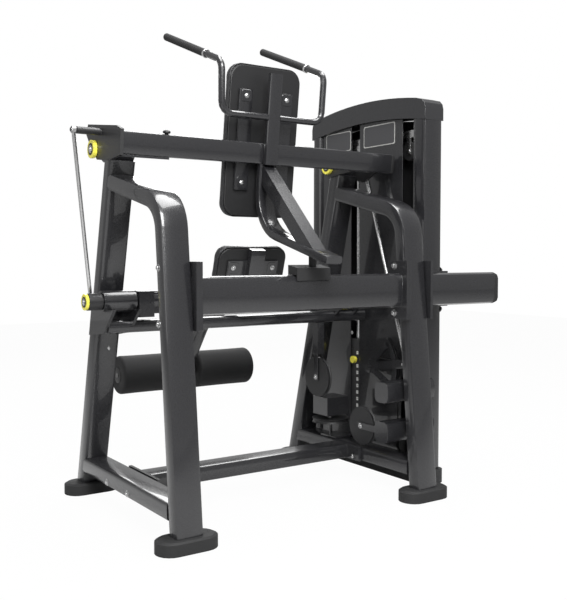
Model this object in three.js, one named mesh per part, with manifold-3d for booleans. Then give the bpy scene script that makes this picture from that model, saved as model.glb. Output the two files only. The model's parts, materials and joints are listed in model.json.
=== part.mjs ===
// Standing abdominal crunch machine with a weight tower. Millimetres, +Z up, +Y the way the user faces.
import * as THREE from 'three';
import * as BufferGeometryUtils from 'three/addons/utils/BufferGeometryUtils.js';
import Module from 'manifold-3d';

const wasm = await Module();
wasm.setup();

// Driving dimensions of the frame
const sideFrameX = 516;
const frameTubeWidth = 100;
const frameTubeDepth = 60;
const frameTubeCorner = 12;
const seatGap = 0.3;
const weldOverlap = 1;
const cutOverrun = 5;
const footHeight = 45;
const footLength = 217;
const footWidth = 110;
const footSoftEdge = 6;
const frontFootY = -405;
const frontLegLeanShare = 0.0945;
const frontBendRadius = 120;
const topRunSlopeShare = 0.2373;
const topRunMidY = 86;
const topRunMidZ = 1208;
const rearFootY = 422;
const rearPostLeanShare = 0.255;
const rearPostDepth = 66;
const railBottom = 88;
const railHeight = 60;
const baseRailY = 40;
const baseRailPlateWidth = 250;
const plateThickness = 12;
const lowerCrossRailY = 125;
const lowerCrossRailDepth = 50;
const lowerCrossRailBottom = 660;
const lowerCrossRailHeight = 45;
const beamY = -332;
const beamDepth = 60;
const beamBottom = 746;
const beamHeight = 130;
const beamCorner = 22;
const flangeHeight = 225;
const flangeDepth = 110;
const flangeBottom = 700;
const extensionEndX = 990;
const extensionCapLength = 36;

// Pivots and the two swinging arms
const upperPivotY = 125;
const upperPivotZ = 1328;
const lowerPivotY = 105;
const lowerPivotZ = 778;
const restLeanDegrees = 7;
const upperHousingRadius = 45;
const lowerHousingRadius = 40;
const upperShaftRadius = 25;
const lowerShaftRadius = 20;
const runningGap = 0.5;
const ringCapRadius = 33;
const ringCapThickness = 14;
const crossbarHeight = 80;
const crossbarDepth = 40;
const crossbarFrontY = -222;
const crossbarBottomZ = -12;
const crossbarRightX = 612;
const crossbarCapLength = 20;
const backPostWidth = 54;
const backPostDepth = 25;
const backPostTopZ = 324;
const padRailX = 90;
const padRailWidth = 60;
const padRailTopZ = 262;
const padRailBottomZ = -112;
const backPadWidth = 328;
const backPadHeight = 582;
const backPadBottomZ = -221;
const backPadThickness = 52;
const padCorner = 60;
const padCrown = 9;
const padEdgeDraw = 7;
const barRadius = 12.5;
const gripRadius = 15;
const gripLength = 345;
const gripSlopeDegrees = 14.7;
const barHalfWidth = 227;
const curvedArmWidth = 70;
const curvedArmDepth = 30;
const curvedArmRadius = 160;
const seatPadWidth = 323;
const seatPadHeight = 168;
const seatPadThickness = 55;
const seatPadTiltDegrees = 17;
const torsionTubeRadius = 38;
const torsionTubeEndRoom = 6;
const rollerRadius = 83;
const rollerLength = 280;
const rollerInnerX = 42;
const rollerY = 605;
const rollerZ = 430;

// Weight tower
const towerInnerX = 640;
const towerWidth = 102;
const nearColumnY = -270;
const nearColumnDepth = 79;
const farColumnY = 439;
const farColumnDepth = 68;
const towerShoulderZ = 1497;
const towerPeakRise = 33;
const towerCapHeight = 88;
const towerBaseHeight = 60;
const towerRecess = 15;
const panelThickness = 4;
const slotNearY = 163;
const slotFarY = 224;
const stackY = 193;
const stackPlateLength = 260;
const stackPlateWidth = 62;
const stackPlatePitch = 30;
const stackBottomZ = 220;
const restingPlateCount = 8;
const liftedPlateCount = 2;
const guideRodRadius = 12;
const guideRodOffset = 21;
const stackX = 694;

// Colours and finishes
const charcoal = { color: 0x424242, roughness: 0.45, metalness: 0.35 };
const black = { color: 0x262626, roughness: 0.7, metalness: 0 };
const padBlack = { color: 0x2b2b2b, roughness: 0.8, metalness: 0 };
const yellow = { color: 0xe8e060, roughness: 0.4, metalness: 0 };
const silver = { color: 0xc8c8c8, roughness: 0.25, metalness: 1 };
const dark = { color: 0x161616, roughness: 0.8, metalness: 0 };

const machine = new THREE.Group();
const frame = new THREE.Group();
const upperArm = new THREE.Group();
const lowerArm = new THREE.Group();
machine.add(frame, upperArm, lowerArm);
upperArm.position.set(0, upperPivotY, upperPivotZ);
upperArm.rotation.x = THREE.MathUtils.degToRad(restLeanDegrees);
lowerArm.position.set(0, lowerPivotY, lowerPivotZ);

// Pieces that are given one name are welded into one body
function addMesh(parent, name, geometry, finish) {
  const known = parent.getObjectByName(name);
  if (known) {
    known.geometry = join(known.geometry, geometry);
    return known;
  }
  const mesh = new THREE.Mesh(geometry, new THREE.MeshStandardMaterial(finish));
  mesh.name = name;
  parent.add(mesh);
  return mesh;
}

// Solid geometry helpers
function toSolid(geometry) {
  const plain = geometry.clone();
  plain.deleteAttribute('normal');
  plain.deleteAttribute('uv');
  const merged = BufferGeometryUtils.mergeVertices(plain, 1e-3);
  const vertProperties = new Float32Array(merged.attributes.position.array);
  const triVerts = new Uint32Array(merged.index.array);
  return new wasm.Manifold(new wasm.Mesh({ numProp: 3, vertProperties, triVerts }));
}

function toGeometry(solid) {
  const mesh = solid.getMesh();
  const geometry = new THREE.BufferGeometry();
  geometry.setAttribute('position', new THREE.BufferAttribute(new Float32Array(mesh.vertProperties), 3));
  geometry.setIndex(new THREE.BufferAttribute(new Uint32Array(mesh.triVerts), 1));
  return geometry;
}

function join(...geometries) {
  return toGeometry(geometries.map(toSolid).reduce((sum, next) => sum.add(next)));
}

function cut(geometry, ...cutters) {
  return toGeometry(cutters.map(toSolid).reduce((rest, next) => rest.subtract(next), toSolid(geometry)));
}

function box(xRange, yRange, zRange) {
  const size = [xRange, yRange, zRange].map(([low, high]) => high - low);
  const middle = [xRange, yRange, zRange].map(([low, high]) => (low + high) / 2);
  return new THREE.BoxGeometry(...size).translate(...middle);
}

function roundedShape(width, height, radius, arcSteps = 2) {
  const points = [];
  const corners = [[1, 1], [-1, 1], [-1, -1], [1, -1]];
  corners.forEach(([sideX, sideY], quarter) => {
    for (let step = 0; step <= arcSteps; step++) {
      const angle = (quarter + step / arcSteps) * Math.PI / 2;
      const x = sideX * (width / 2 - radius) + radius * Math.cos(angle);
      const y = sideY * (height / 2 - radius) + radius * Math.sin(angle);
      points.push(new THREE.Vector2(x, y));
    }
  });
  return points;
}

// Closed body through rings of points; the winding is turned outwards at the end
function loft(rings) {
  const count = rings[0].length;
  const positions = rings.flat().flatMap((point) => [point.x, point.y, point.z]);
  const faces = [];
  for (let row = 0; row < rings.length - 1; row++) {
    for (let i = 0; i < count; i++) {
      const next = (i + 1) % count;
      const [a, b] = [row * count + i, row * count + next];
      faces.push([a, b, b + count], [a, b + count, a + count]);
    }
  }
  [0, rings.length - 1].forEach((row, atEnd) => {
    const centre = rings[row].reduce((sum, point) => sum.add(point),
      new THREE.Vector3()).divideScalar(count);
    const centreIndex = positions.length / 3;
    positions.push(centre.x, centre.y, centre.z);
    for (let i = 0; i < count; i++) {
      const pair = [row * count + i, row * count + (i + 1) % count];
      faces.push(atEnd ? [pair[0], pair[1], centreIndex] : [pair[1], pair[0], centreIndex]);
    }
  });
  const at = (index) => new THREE.Vector3(...positions.slice(index * 3, index * 3 + 3));
  const volume = faces.reduce((sum, [a, b, c]) => sum + at(a).dot(at(b).cross(at(c))), 0);
  const turned = volume < 0 ? faces.map(([a, b, c]) => [a, c, b]) : faces;
  const geometry = new THREE.BufferGeometry();
  geometry.setAttribute('position', new THREE.Float32BufferAttribute(positions, 3));
  geometry.setIndex(turned.flat());
  return geometry;
}

// Tube whose path lies in a plane of constant x; section x is across, section y is in the plane
function sweep(path, section, x = 0) {
  const rings = path.map((point, i) => {
    const before = path[Math.max(i - 1, 0)];
    const after = path[Math.min(i + 1, path.length - 1)];
    const inward = i > 0 ? point.clone().sub(before).normalize() : after.clone().sub(point).normalize();
    const onward = i < path.length - 1 ? after.clone().sub(point).normalize() : inward.clone();
    const tangent = inward.clone().add(onward).normalize();
    const stretch = 1 / tangent.dot(onward);
    const normal = new THREE.Vector2(-tangent.y, tangent.x).multiplyScalar(stretch);
    return section.map((p) => new THREE.Vector3(x + p.x, point.x + normal.x * p.y,
      point.y + normal.y * p.y));
  });
  return loft(rings);
}

// Path in a plane with its inner corners rounded
function bentPath(corners, radius, arcSteps) {
  const path = [corners[0]];
  for (let i = 1; i < corners.length - 1; i++) {
    const back = corners[i - 1].clone().sub(corners[i]).normalize();
    const on = corners[i + 1].clone().sub(corners[i]).normalize();
    const half = Math.acos(back.dot(on)) / 2;
    const centre = corners[i].clone().addScaledVector(back.clone().add(on).normalize(),
      radius / Math.sin(half));
    const start = corners[i].clone().addScaledVector(back, radius / Math.tan(half)).sub(centre);
    const turn = (Math.PI - 2 * half) * Math.sign(-back.x * on.y + back.y * on.x);
    for (let step = 0; step <= arcSteps; step++) {
      const offset = start.clone().rotateAround(new THREE.Vector2(), turn * step / arcSteps);
      path.push(centre.clone().add(offset));
    }
  }
  path.push(corners.at(-1));
  return path;
}

function alongX(geometry) {
  const toX = new THREE.Matrix4().makeBasis(
    new THREE.Vector3(0, 1, 0), new THREE.Vector3(0, 0, 1), new THREE.Vector3(1, 0, 0));
  return geometry.applyMatrix4(toX);
}

// Plate with a y-z outline between two x places
function plateX(outline, xFrom, xTo) {
  const shape = new THREE.Shape(outline.map(([y, z]) => new THREE.Vector2(y, z)));
  const solid = new THREE.ExtrudeGeometry(shape, { depth: xTo - xFrom, bevelEnabled: false });
  return alongX(solid).translate(xFrom, 0, 0);
}

function rodX(radius, xFrom, xTo, y, z, sides = 20) {
  const rod = new THREE.CylinderGeometry(radius, radius, xTo - xFrom, sides).rotateZ(-Math.PI / 2);
  return rod.translate((xFrom + xTo) / 2, y, z);
}

function rodZ(radius, zFrom, zTo, x, y, sides = 12) {
  const rod = new THREE.CylinderGeometry(radius, radius, zTo - zFrom, sides).rotateX(Math.PI / 2);
  return rod.translate(x, y, (zFrom + zTo) / 2);
}

// Bar along x with a rounded section
function barX(xFrom, xTo, depth, height, corner, y, z) {
  const shape = new THREE.Shape(roundedShape(depth, height, corner));
  const solid = new THREE.ExtrudeGeometry(shape, { depth: xTo - xFrom, bevelEnabled: false });
  return alongX(solid).translate(xFrom, y, z);
}

function columnZ(width, depth, corner, x, y, zFrom, zTo) {
  const shape = new THREE.Shape(roundedShape(width, depth, corner));
  return new THREE.ExtrudeGeometry(shape, { depth: zTo - zFrom, bevelEnabled: false }).translate(x, y,
    zFrom);
}

function strut(start, end, radius, sides = 12) {
  const [from, to] = [new THREE.Vector3(...start), new THREE.Vector3(...end)];
  const rod = new THREE.CylinderGeometry(radius, radius, from.distanceTo(to), sides);
  const turn = new THREE.Quaternion().setFromUnitVectors(
    new THREE.Vector3(0, 1, 0), to.clone().sub(from).normalize());
  return rod.applyQuaternion(turn).translate(...from.add(to).divideScalar(2).toArray());
}

// Cushion in its own plane: width along x, height along y, thickness along z with the crown on top
function cushion(width, height, thickness, corner) {
  const outline = roundedShape(width, height, corner, 5);
  const layerShares = [[0, 0.94, 0], [0.12, 1, 0], [0.45, 0.97, 0], [0.75, 1, 0], [0.93, 0.93, 0],
    [0.97, 0.7, 0.55], [0.99, 0.4, 0.85], [1, 0.12, 1]];
  const rings = layerShares.map(([heightShare, insetShare, crownShare]) => outline.map((p) => {
    const draw = 1 - (1 - insetShare) * (crownShare > 0 ? 1 : padEdgeDraw / padCrown);
    const z = heightShare * (thickness - padCrown) + crownShare * padCrown;
    return new THREE.Vector3(p.x * draw, p.y * draw, z);
  }));
  return loft(rings);
}

const middle = ([low, high]) => (low + high) / 2;
const plane = (y, z) => new THREE.Vector2(y, z);
const sides = [['left', -1], ['right', 1]];

// Side frames: bent front leg, leaning rear post, rail and two rubber feet on each side
const tubeSection = roundedShape(frameTubeWidth, frameTubeDepth, frameTubeCorner);
const legFoot = plane(frontFootY - frontLegLeanShare * cutOverrun * 2, footHeight - cutOverrun * 2);
const legLineY = (z) => frontFootY + frontLegLeanShare * (z - footHeight);
const runLineZ = (y) => topRunMidZ + topRunSlopeShare * (y - topRunMidY);
const cornerY = (legLineY(runLineZ(0))) / (1 - frontLegLeanShare * topRunSlopeShare);
const legCorner = plane(cornerY, runLineZ(cornerY));
const postMidY = (z) => rearFootY - rearPostLeanShare * (z - footHeight);
const postHalf = rearPostDepth / 2 * Math.hypot(1, rearPostLeanShare);
const postFrontY = (z) => postMidY(z) - postHalf;
const runEnd = plane(upperPivotY, runLineZ(upperPivotY));
const legPath = bentPath([legFoot, legCorner, runEnd], frontBendRadius, 8);
const postSection = roundedShape(frameTubeWidth, rearPostDepth, frameTubeCorner);
const postTopZ = upperPivotZ - upperHousingRadius + frameTubeCorner;

function grown(section, amount) {
  return section.map((p) => new THREE.Vector2(p.x + Math.sign(p.x) * amount,
    p.y + Math.sign(p.y) * amount));
}

function postTube(x, section) {
  const path = [plane(postMidY(footHeight / 2), footHeight / 2), plane(postMidY(postTopZ), postTopZ)];
  return sweep(path, section, x);
}

function footPad(x, y) {
  const outline = roundedShape(footLength, footWidth, footWidth / 2 - seatGap, 5);
  const levels = [[0, 0], [footHeight - footSoftEdge, 0], [footHeight, footSoftEdge]];
  return loft(levels.map(([z, inset]) => outline.map((p) => {
    const share = 1 - inset / (footWidth / 2);
    return new THREE.Vector3(x + p.x * share, y + p.y * share, z);
  })));
}

const legHalfX = frameTubeWidth / 2;
const innerFaceX = sideFrameX - legHalfX;
const outerFaceX = sideFrameX + legHalfX;
const torsionTubeHalfLength = innerFaceX - torsionTubeEndRoom;
const railTop = railBottom + railHeight;
const beamRearY = beamY + beamDepth / 2;
const beamTop = beamBottom + beamHeight;

const bearingWall = (radius, bore, xFrom, xTo, y, z) => cut(rodX(radius, xFrom, xTo, y, z, 20),
  rodX(bore + runningGap, xFrom - cutOverrun, xTo + cutOverrun, y, z, 20));
for (const [name, side] of sides) {
  const x = side * sideFrameX;
  const railFront = legLineY(railTop) + frameTubeDepth / 2;
  const postGap = sweep([plane(postMidY(0), 0), plane(postMidY(upperPivotZ), upperPivotZ)],
    grown(postSection, seatGap), x);
  const legTube = sweep(legPath, tubeSection, x);
  const railNotch = box([x - frameTubeWidth, x + frameTubeWidth], [railFront - seatGap, postMidY(0)],
    [railBottom - seatGap, railTop + seatGap]);
  const behindPost = plateX([[postMidY(footHeight), footHeight], [rearFootY + footLength, footHeight],
    [rearFootY + footLength, upperPivotZ], [postMidY(upperPivotZ),
      upperPivotZ]], x - frameTubeWidth, x + frameTubeWidth);
  const plate = box(side < 0 ? [-innerFaceX, -innerFaceX + plateThickness] : [innerFaceX - plateThickness,
    innerFaceX],
    [beamY - flangeDepth / 2, beamY + flangeDepth / 2], [flangeBottom, flangeBottom + flangeHeight]);
  const weldedPlate = plate.translate(-side * seatGap, 0, 0);
  const plateSeat = box(side < 0 ? [-innerFaceX - weldOverlap, -innerFaceX + weldOverlap]
    : [innerFaceX - weldOverlap, innerFaceX + weldOverlap], [beamY - beamDepth / 2 + cutOverrun,
      beamRearY - cutOverrun * 2],
  [beamBottom, beamTop]);
  const floorGap = box([x - frameTubeWidth, x + frameTubeWidth], [frontFootY * 2, rearFootY * 2],
    [-footHeight, footHeight + seatGap]);
  addMesh(frame, `${name}_front_leg`, join(cut(legTube, floorGap, railNotch, postGap, behindPost),
    plateSeat, weldedPlate), charcoal);
  const housingSeat = rodX(upperHousingRadius - weldOverlap, x - legHalfX - cutOverrun,
    x + legHalfX + cutOverrun,
    upperPivotY, upperPivotZ, 20);
  addMesh(frame, `${name}_rear_post`, join(cut(postTube(x, postSection), floorGap, housingSeat),
    bearingWall(upperHousingRadius,
    upperShaftRadius, x - legHalfX, x + legHalfX, upperPivotY, upperPivotZ)), charcoal);
  addMesh(frame, `${name}_side_rail`, cut(alongYRail(x, [railFront, postMidY(railTop)]), postGap),
    charcoal);
  addMesh(frame, `${name}_front_foot`, footPad(x, frontFootY), black);
  addMesh(frame, `${name}_rear_foot`, footPad(x, rearFootY), black);
}

function alongYRail(x, [yFrom, yTo]) {
  const shape = new THREE.Shape(roundedShape(frameTubeWidth, railHeight, frameTubeCorner));
  const solid = new THREE.ExtrudeGeometry(shape, { depth: yTo - yFrom, bevelEnabled: false });
  return solid.rotateX(-Math.PI / 2).translate(x, yFrom, (railBottom + railTop) / 2);
}

// Cross members
const baseRailHalf = innerFaceX - plateThickness - seatGap;
const baseRail = barX(-baseRailHalf, baseRailHalf, frameTubeWidth, railHeight, frameTubeCorner, baseRailY,
  (railBottom + railTop) / 2);
const baseRailPlates = sides.map(([, side]) => box(
  [side < 0 ? -innerFaceX + seatGap : baseRailHalf - weldOverlap,
    side < 0 ? -baseRailHalf + weldOverlap : innerFaceX - seatGap],
  [baseRailY - baseRailPlateWidth / 2, baseRailY + baseRailPlateWidth / 2], [railBottom, railTop]));
addMesh(frame, 'base_cross_rail', join(baseRail, ...baseRailPlates), charcoal);

const crossRailY = [lowerCrossRailY - lowerCrossRailDepth / 2, lowerCrossRailY + lowerCrossRailDepth / 2];
const crossRailZ = [lowerCrossRailBottom, lowerCrossRailBottom + lowerCrossRailHeight];
addMesh(frame, 'lower_cross_rail', barX(-outerFaceX, towerInnerX - seatGap, lowerCrossRailDepth,
  lowerCrossRailHeight, frameTubeCorner, lowerCrossRailY, (crossRailZ[0] + crossRailZ[1]) / 2), charcoal);

const beamHalf = innerFaceX - 2 * plateThickness - seatGap;
const flangeBox = (xRange) => box(xRange, [beamY - flangeDepth / 2, beamY + flangeDepth / 2],
  [flangeBottom, flangeBottom + flangeHeight]);
const beamBar = (xFrom, xTo) => barX(xFrom, xTo, beamDepth, beamHeight, beamCorner, beamY,
  (beamBottom + beamTop) / 2);
addMesh(frame, 'main_beam', join(beamBar(-beamHalf, beamHalf),
  flangeBox([-beamHalf - plateThickness, -beamHalf]),
  flangeBox([beamHalf, beamHalf + plateThickness])), charcoal);
const extensionStart = outerFaceX + seatGap;
addMesh(frame, 'beam_extension', join(flangeBox([extensionStart, extensionStart + plateThickness]),
  beamBar(extensionStart + plateThickness, extensionEndX - extensionCapLength)), charcoal);

function endCap(xFrom, length, depth, height, corner, y, z) {
  const outline = roundedShape(depth, height, corner);
  const levelShares = [[0, 0], [0.4, 0], [0.75, 0.18], [1, 0.6]];
  return loft(levelShares.map(([along, inset]) => outline.map((p) => {
    const pull = inset * corner;
    return new THREE.Vector3(xFrom + along * length, y + p.x * (1 - 2 * pull / depth),
      z + p.y * (1 - 2 * pull / height));
  })));
}
addMesh(frame, 'extension_cap', endCap(extensionEndX - extensionCapLength + seatGap,
  extensionCapLength - seatGap,
  beamDepth, beamHeight, beamCorner, beamY, (beamBottom + beamTop) / 2), black);

// Stop block on the beam with the rubber the arm's tail rests on
const stopHeights = [25, 36];
const stopFrontY = beamY - 36;
const stopRearY = beamY + 22;
const stopWrap = 20;
const stopX = [-56, 89];
const stopOutline = [[beamY - beamDepth / 2 - seatGap, beamTop + seatGap], [stopRearY, beamTop + seatGap],
  [stopRearY, beamTop + stopHeights[1]], [stopFrontY, beamTop + stopHeights[0]],
  [stopFrontY, beamTop - stopWrap], [beamY - beamDepth / 2 - seatGap, beamTop - stopWrap]];
addMesh(frame, 'beam_stop', plateX(stopOutline, ...stopX), black);
const bumpX = 30;
const bumpY = -340;
const bumpRadius = 14;
const bumpTopZ = 952;
addMesh(frame, 'beam_stop', rodZ(bumpRadius, beamTop + cutOverrun, bumpTopZ, bumpX, bumpY), black);

// Lower pivot housings on their gusset plates
const lowerHousingReach = 28;
const lowerHousingX = [innerFaceX + 2, outerFaceX + lowerHousingReach];
const gussetTopZ = 750;
const gussetFrontY = 29;
const gussetBottomZ = 644;
const gussetOutline = (rearAt) => [[gussetFrontY, gussetTopZ], [lowerCrossRailY, crossRailZ[0]],
  [rearAt(gussetBottomZ), gussetBottomZ], [rearAt(gussetTopZ), gussetTopZ]];
const crossRailGap = box([-towerInnerX, towerInnerX],
  crossRailY.map((y, i) => y + (i ? seatGap : -seatGap)),
  crossRailZ.map((z, i) => z + (i ? seatGap : -seatGap)));
const lowerHousingSeat = rodX(lowerHousingRadius - weldOverlap, -towerInnerX, towerInnerX, lowerPivotY,
  lowerPivotZ, 20);
for (const [name, side] of sides) {
  const place = ([low, high]) => (side < 0 ? [-high, -low] : [low, high]);
  const outer = [outerFaceX + seatGap, outerFaceX + seatGap + plateThickness];
  const inner = [innerFaceX + 2, innerFaceX + 2 + plateThickness];
  const outerPlate = cut(plateX(gussetOutline(postMidY), ...place(outer)), lowerHousingSeat,
    ...(side > 0 ? [crossRailGap] : []));
  const innerPlate = cut(plateX(gussetOutline((z) => postFrontY(z) - seatGap), ...place(inner)),
    lowerHousingSeat,
    crossRailGap);
  const housing = bearingWall(lowerHousingRadius, lowerShaftRadius, ...place(lowerHousingX), lowerPivotY,
    lowerPivotZ);
  addMesh(frame, `${name}_pivot_carrier`, join(housing, outerPlate, innerPlate), charcoal);
}

// Weight tower
const towerX = [towerInnerX, towerInnerX + towerWidth];
const towerMidX = towerInnerX + towerWidth / 2;
const towerEndY = farColumnY + farColumnDepth;
const towerMidY = (nearColumnY + towerEndY) / 2;
const towerHalfY = (towerEndY - nearColumnY) / 2;
const archZ = (y, rise) => rise * (1 - ((y - towerMidY) / towerHalfY) ** 2);
const columnCorner = 20;
const baseOverhang = 12;
addMesh(frame, 'tower_base', columnZ(towerWidth + baseOverhang, 2 * (towerHalfY + baseOverhang),
  columnCorner,
  towerMidX + baseOverhang / 4, towerMidY, 0, towerBaseHeight), black);
const column = (y, depth) => columnZ(towerWidth, depth, columnCorner, towerMidX, y + depth / 2,
  towerBaseHeight + seatGap, towerShoulderZ + towerPeakRise);
const archSteps = 14;
const archPoint = (i) => nearColumnY + 2 * towerHalfY * i / archSteps;
const capUnder = Array.from({ length: archSteps + 1 },
  (_, i) => [archPoint(i), towerShoulderZ + archZ(archPoint(i), towerPeakRise)]);
const aboveColumns = plateX([[nearColumnY - cutOverrun, towerShoulderZ - seatGap],
  ...capUnder.map(([y, z]) => [y, z - seatGap]), [towerEndY + cutOverrun, towerShoulderZ - seatGap],
  [towerEndY + cutOverrun, towerShoulderZ + towerCapHeight], [nearColumnY - cutOverrun, towerShoulderZ + towerCapHeight]],
towerX[0] - cutOverrun, towerX[1] + cutOverrun);
addMesh(frame, 'tower_near_column', cut(column(nearColumnY, nearColumnDepth), aboveColumns), charcoal);
addMesh(frame, 'tower_far_column', cut(column(farColumnY, farColumnDepth), aboveColumns), charcoal);
const capCorner = 40;
const capTopRise = 38;
const capTop = Array.from({ length: archSteps + 1 }, (_, i) => {
  const y = archPoint(i);
  return [y, towerShoulderZ + towerCapHeight - 5 + archZ(y, capTopRise)];
}).reverse();
const roundEnd = (y, sign) => [0, 1, 2, 3].map((i) => {
  const angle = i * Math.PI / 6;
  const z = towerShoulderZ + towerCapHeight - capCorner;
  return [y - sign * capCorner * (1 - Math.cos(angle)), z + capCorner * Math.sin(angle)];
});
const capOutline = [...capUnder, ...roundEnd(towerEndY, 1), ...capTop.slice(1, -1),
  ...roundEnd(nearColumnY, -1).reverse()];
addMesh(frame, 'tower_cap', plateX(capOutline, ...towerX), charcoal);
const panelEdges = [[nearColumnY + nearColumnDepth + 72, slotNearY], [slotFarY, farColumnY - seatGap]];
const panelX = [towerInnerX + towerRecess, towerInnerX + towerRecess + panelThickness];
function archPanel([yFrom, yTo], xRange) {
  const top = [1, 0.75, 0.5, 0.25, 0].map((share) => yFrom + (yTo - yFrom) * share);
  const outline = [[yFrom, towerBaseHeight + seatGap], [yTo, towerBaseHeight + seatGap],
    ...top.map((y) => [y, towerShoulderZ + archZ(y, towerPeakRise) - 2 * seatGap])];
  return plateX(outline, ...xRange);
}
const idlerY = -170;
const idlerZ = 160;
const leverRoom = 27;
const leverX = outerFaceX + leverRoom;
const idlerRadius = (stackX - leverX) / 2;
const idlerX = (stackX + leverX) / 2;
addMesh(frame, 'tower_near_panel', archPanel(panelEdges[0], panelX), charcoal);
addMesh(frame, 'tower_far_panel', archPanel(panelEdges[1], panelX), charcoal);
addMesh(frame, 'tower_back_panel', archPanel([nearColumnY + nearColumnDepth + seatGap,
  farColumnY - seatGap],
  [towerX[1] - panelThickness - 2, towerX[1] - 2]), dark);
const tiePlateZ = [740, 883];
addMesh(frame, 'beam_extension', box(towerX, [beamRearY - weldOverlap, nearColumnY - seatGap],
  tiePlateZ), charcoal);
const stubZ = [250, 407];
const stubY = -279;
const stubStartX = 408;
const stubDepth = 78;
const stubHeight = 82;
for (const z of stubZ) {
  addMesh(frame, 'tower_near_column', barX(stubStartX, towerInnerX + columnCorner, stubDepth, stubHeight,
    columnCorner,
    stubY, z), charcoal);
}

// Weight stack: guide rods, resting plates, the two lifted plates, top plate with stem, and selector pin
const stemRadius = 7;
const stemBoreRadius = 4.5;
const pinRadius = 4;
const pinY = 190;
const pinZ = stackBottomZ + restingPlateCount * stackPlatePitch + stackPlatePitch / 2;
const rodPlaces = [stackY - guideRodOffset, stackY + guideRodOffset];
const plateGap = 0.6;
const topPlateHeight = 47;
const stackTopZ = stackBottomZ + (restingPlateCount + liftedPlateCount) * stackPlatePitch;
function stackPlate(level, height = stackPlatePitch) {
  const low = stackBottomZ + level * stackPlatePitch;
  const block = columnZ(stackPlateWidth, stackPlateLength, 6, stackX, stackY, low + plateGap / 2,
    low + height - plateGap / 2);
  const slotY = guideRodOffset + guideRodRadius + 2 * runningGap;
  const slot = box([stackX - guideRodRadius - 2 * runningGap, stackX + guideRodRadius + 2 * runningGap],
    [stackY - slotY, stackY + slotY], [low - cutOverrun, low + height + cutOverrun]);
  return [block, slot];
}
const pinBore = rodX(pinRadius + runningGap, panelX[0], stackX, pinY, pinZ, 12);
const coreInset = 4;
function plateStack(firstLevel, count) {
  const plates = Array.from({ length: count }, (_, i) => cut(...stackPlate(firstLevel + i)));
  const [, slot] = stackPlate(firstLevel, count * stackPlatePitch);
  const low = stackBottomZ + firstLevel * stackPlatePitch;
  const core = columnZ(stackPlateWidth - coreInset, stackPlateLength - coreInset, 6, stackX, stackY,
    low + plateGap,
    low + count * stackPlatePitch - plateGap);
  return join(cut(core, slot), ...plates);
}
addMesh(frame, 'resting_weight_plates', plateStack(0, restingPlateCount), charcoal);
const lifted = new THREE.Group();
machine.add(lifted);
addMesh(lifted, 'lifted_plates', cut(plateStack(restingPlateCount, liftedPlateCount), pinBore), charcoal);
const [topBlock] = stackPlate(restingPlateCount + liftedPlateCount, topPlateHeight);
const rodHoles = rodPlaces.map((y) => rodZ(guideRodRadius + runningGap, stackTopZ - cutOverrun,
  stackTopZ + topPlateHeight + cutOverrun, stackX, y, 12));
const stemBottomZ = stackBottomZ + 20;
const stemTopZ = stackTopZ + topPlateHeight + 40;
const stemCableRoom = 150;
const stemHole = rodZ(stemBoreRadius, stemTopZ - stemCableRoom, stemTopZ + cutOverrun, stackX, stackY, 12);
addMesh(lifted, 'top_plate', cut(join(cut(topBlock, ...rodHoles),
  rodZ(stemRadius, stemBottomZ, stemTopZ, stackX, stackY, 12)), stemHole), black);
const pinEndX = stackX - stemRadius - 2;
const pinKnobRadius = 16;
const pinKnobX = [636, 653];
addMesh(lifted, 'selector_pin', join(rodX(pinRadius, pinKnobX[1] - weldOverlap, pinEndX, pinY, pinZ, 12),
  rodX(pinKnobRadius, ...pinKnobX, pinY, pinZ, 16)), yellow);
const headBarZ = [1440, 1470];
const rodHeadZ = [1298, 1316];
const rodTopZ = rodHeadZ[0] + weldOverlap;
for (const y of rodPlaces) {
  addMesh(frame, 'guide_rods', rodZ(guideRodRadius, towerBaseHeight + seatGap, rodTopZ, stackX, y), silver);
}
const bufferRadius = 26;
addMesh(frame, 'tower_base', cut(join(...rodPlaces.map((y) => rodZ(bufferRadius,
  towerBaseHeight - weldOverlap,
  stackBottomZ - seatGap, stackX, y))), ...rodPlaces.map((y) => rodZ(guideRodRadius + runningGap, towerBaseHeight,
  stackBottomZ + cutOverrun, stackX, y))), black);

// Head bar under the cap, pulleys, and the cable from the stack to the drive lever
const headPulleyRadius = 40;
const headPulleyZ = 1385;
const headPulleyY = [stackY - headPulleyRadius, idlerY + headPulleyRadius];
const pulleyThickness = 18;
const axleRadius = 7;
const grooveDepth = 5;
const cableRadius = 3;
const cableRoom = 1.6;
function pulleyX(radius, x, y, z) {
  const half = pulleyThickness / 2;
  const profile = [[axleRadius + runningGap, -half], [radius + grooveDepth, -half], [radius, -half / 3],
    [radius, half / 3],
    [radius + grooveDepth, half], [axleRadius + runningGap, half], [axleRadius + runningGap, -half]];
  const ring = new THREE.LatheGeometry(profile.map(([r, h]) => new THREE.Vector2(r, h)), 20);
  return ring.rotateZ(-Math.PI / 2).translate(x, y, z);
}
const pulleyBody = (lineRadius, x, y, z) => pulleyX(lineRadius - cableRadius - cableRoom, x, y, z);
const cheekGap = pulleyThickness / 2 + runningGap;
const cheekThickness = 5;
function cheeks(x, yRange, zRange) {
  return [-1, 1].map((side) => box([x + side * cheekGap,
    x + side * (cheekGap + cheekThickness)].sort((a, b) => a - b),
    yRange, zRange));
}
const pulleyAxle = (x, y, z) => rodX(axleRadius, x - cheekGap - cheekThickness - 2,
  x + cheekGap + cheekThickness + 2, y, z, 14);
headPulleyY.forEach((y, i) => addMesh(machine, `head_pulley_${i + 1}`,
  pulleyBody(headPulleyRadius, stackX, y, headPulleyZ), black));
const idler = pulleyBody(idlerRadius, 0, 0, 0).rotateZ(Math.PI / 2).translate(idlerX, idlerY, idlerZ);
addMesh(machine, 'idler_pulley', idler, black);
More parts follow.
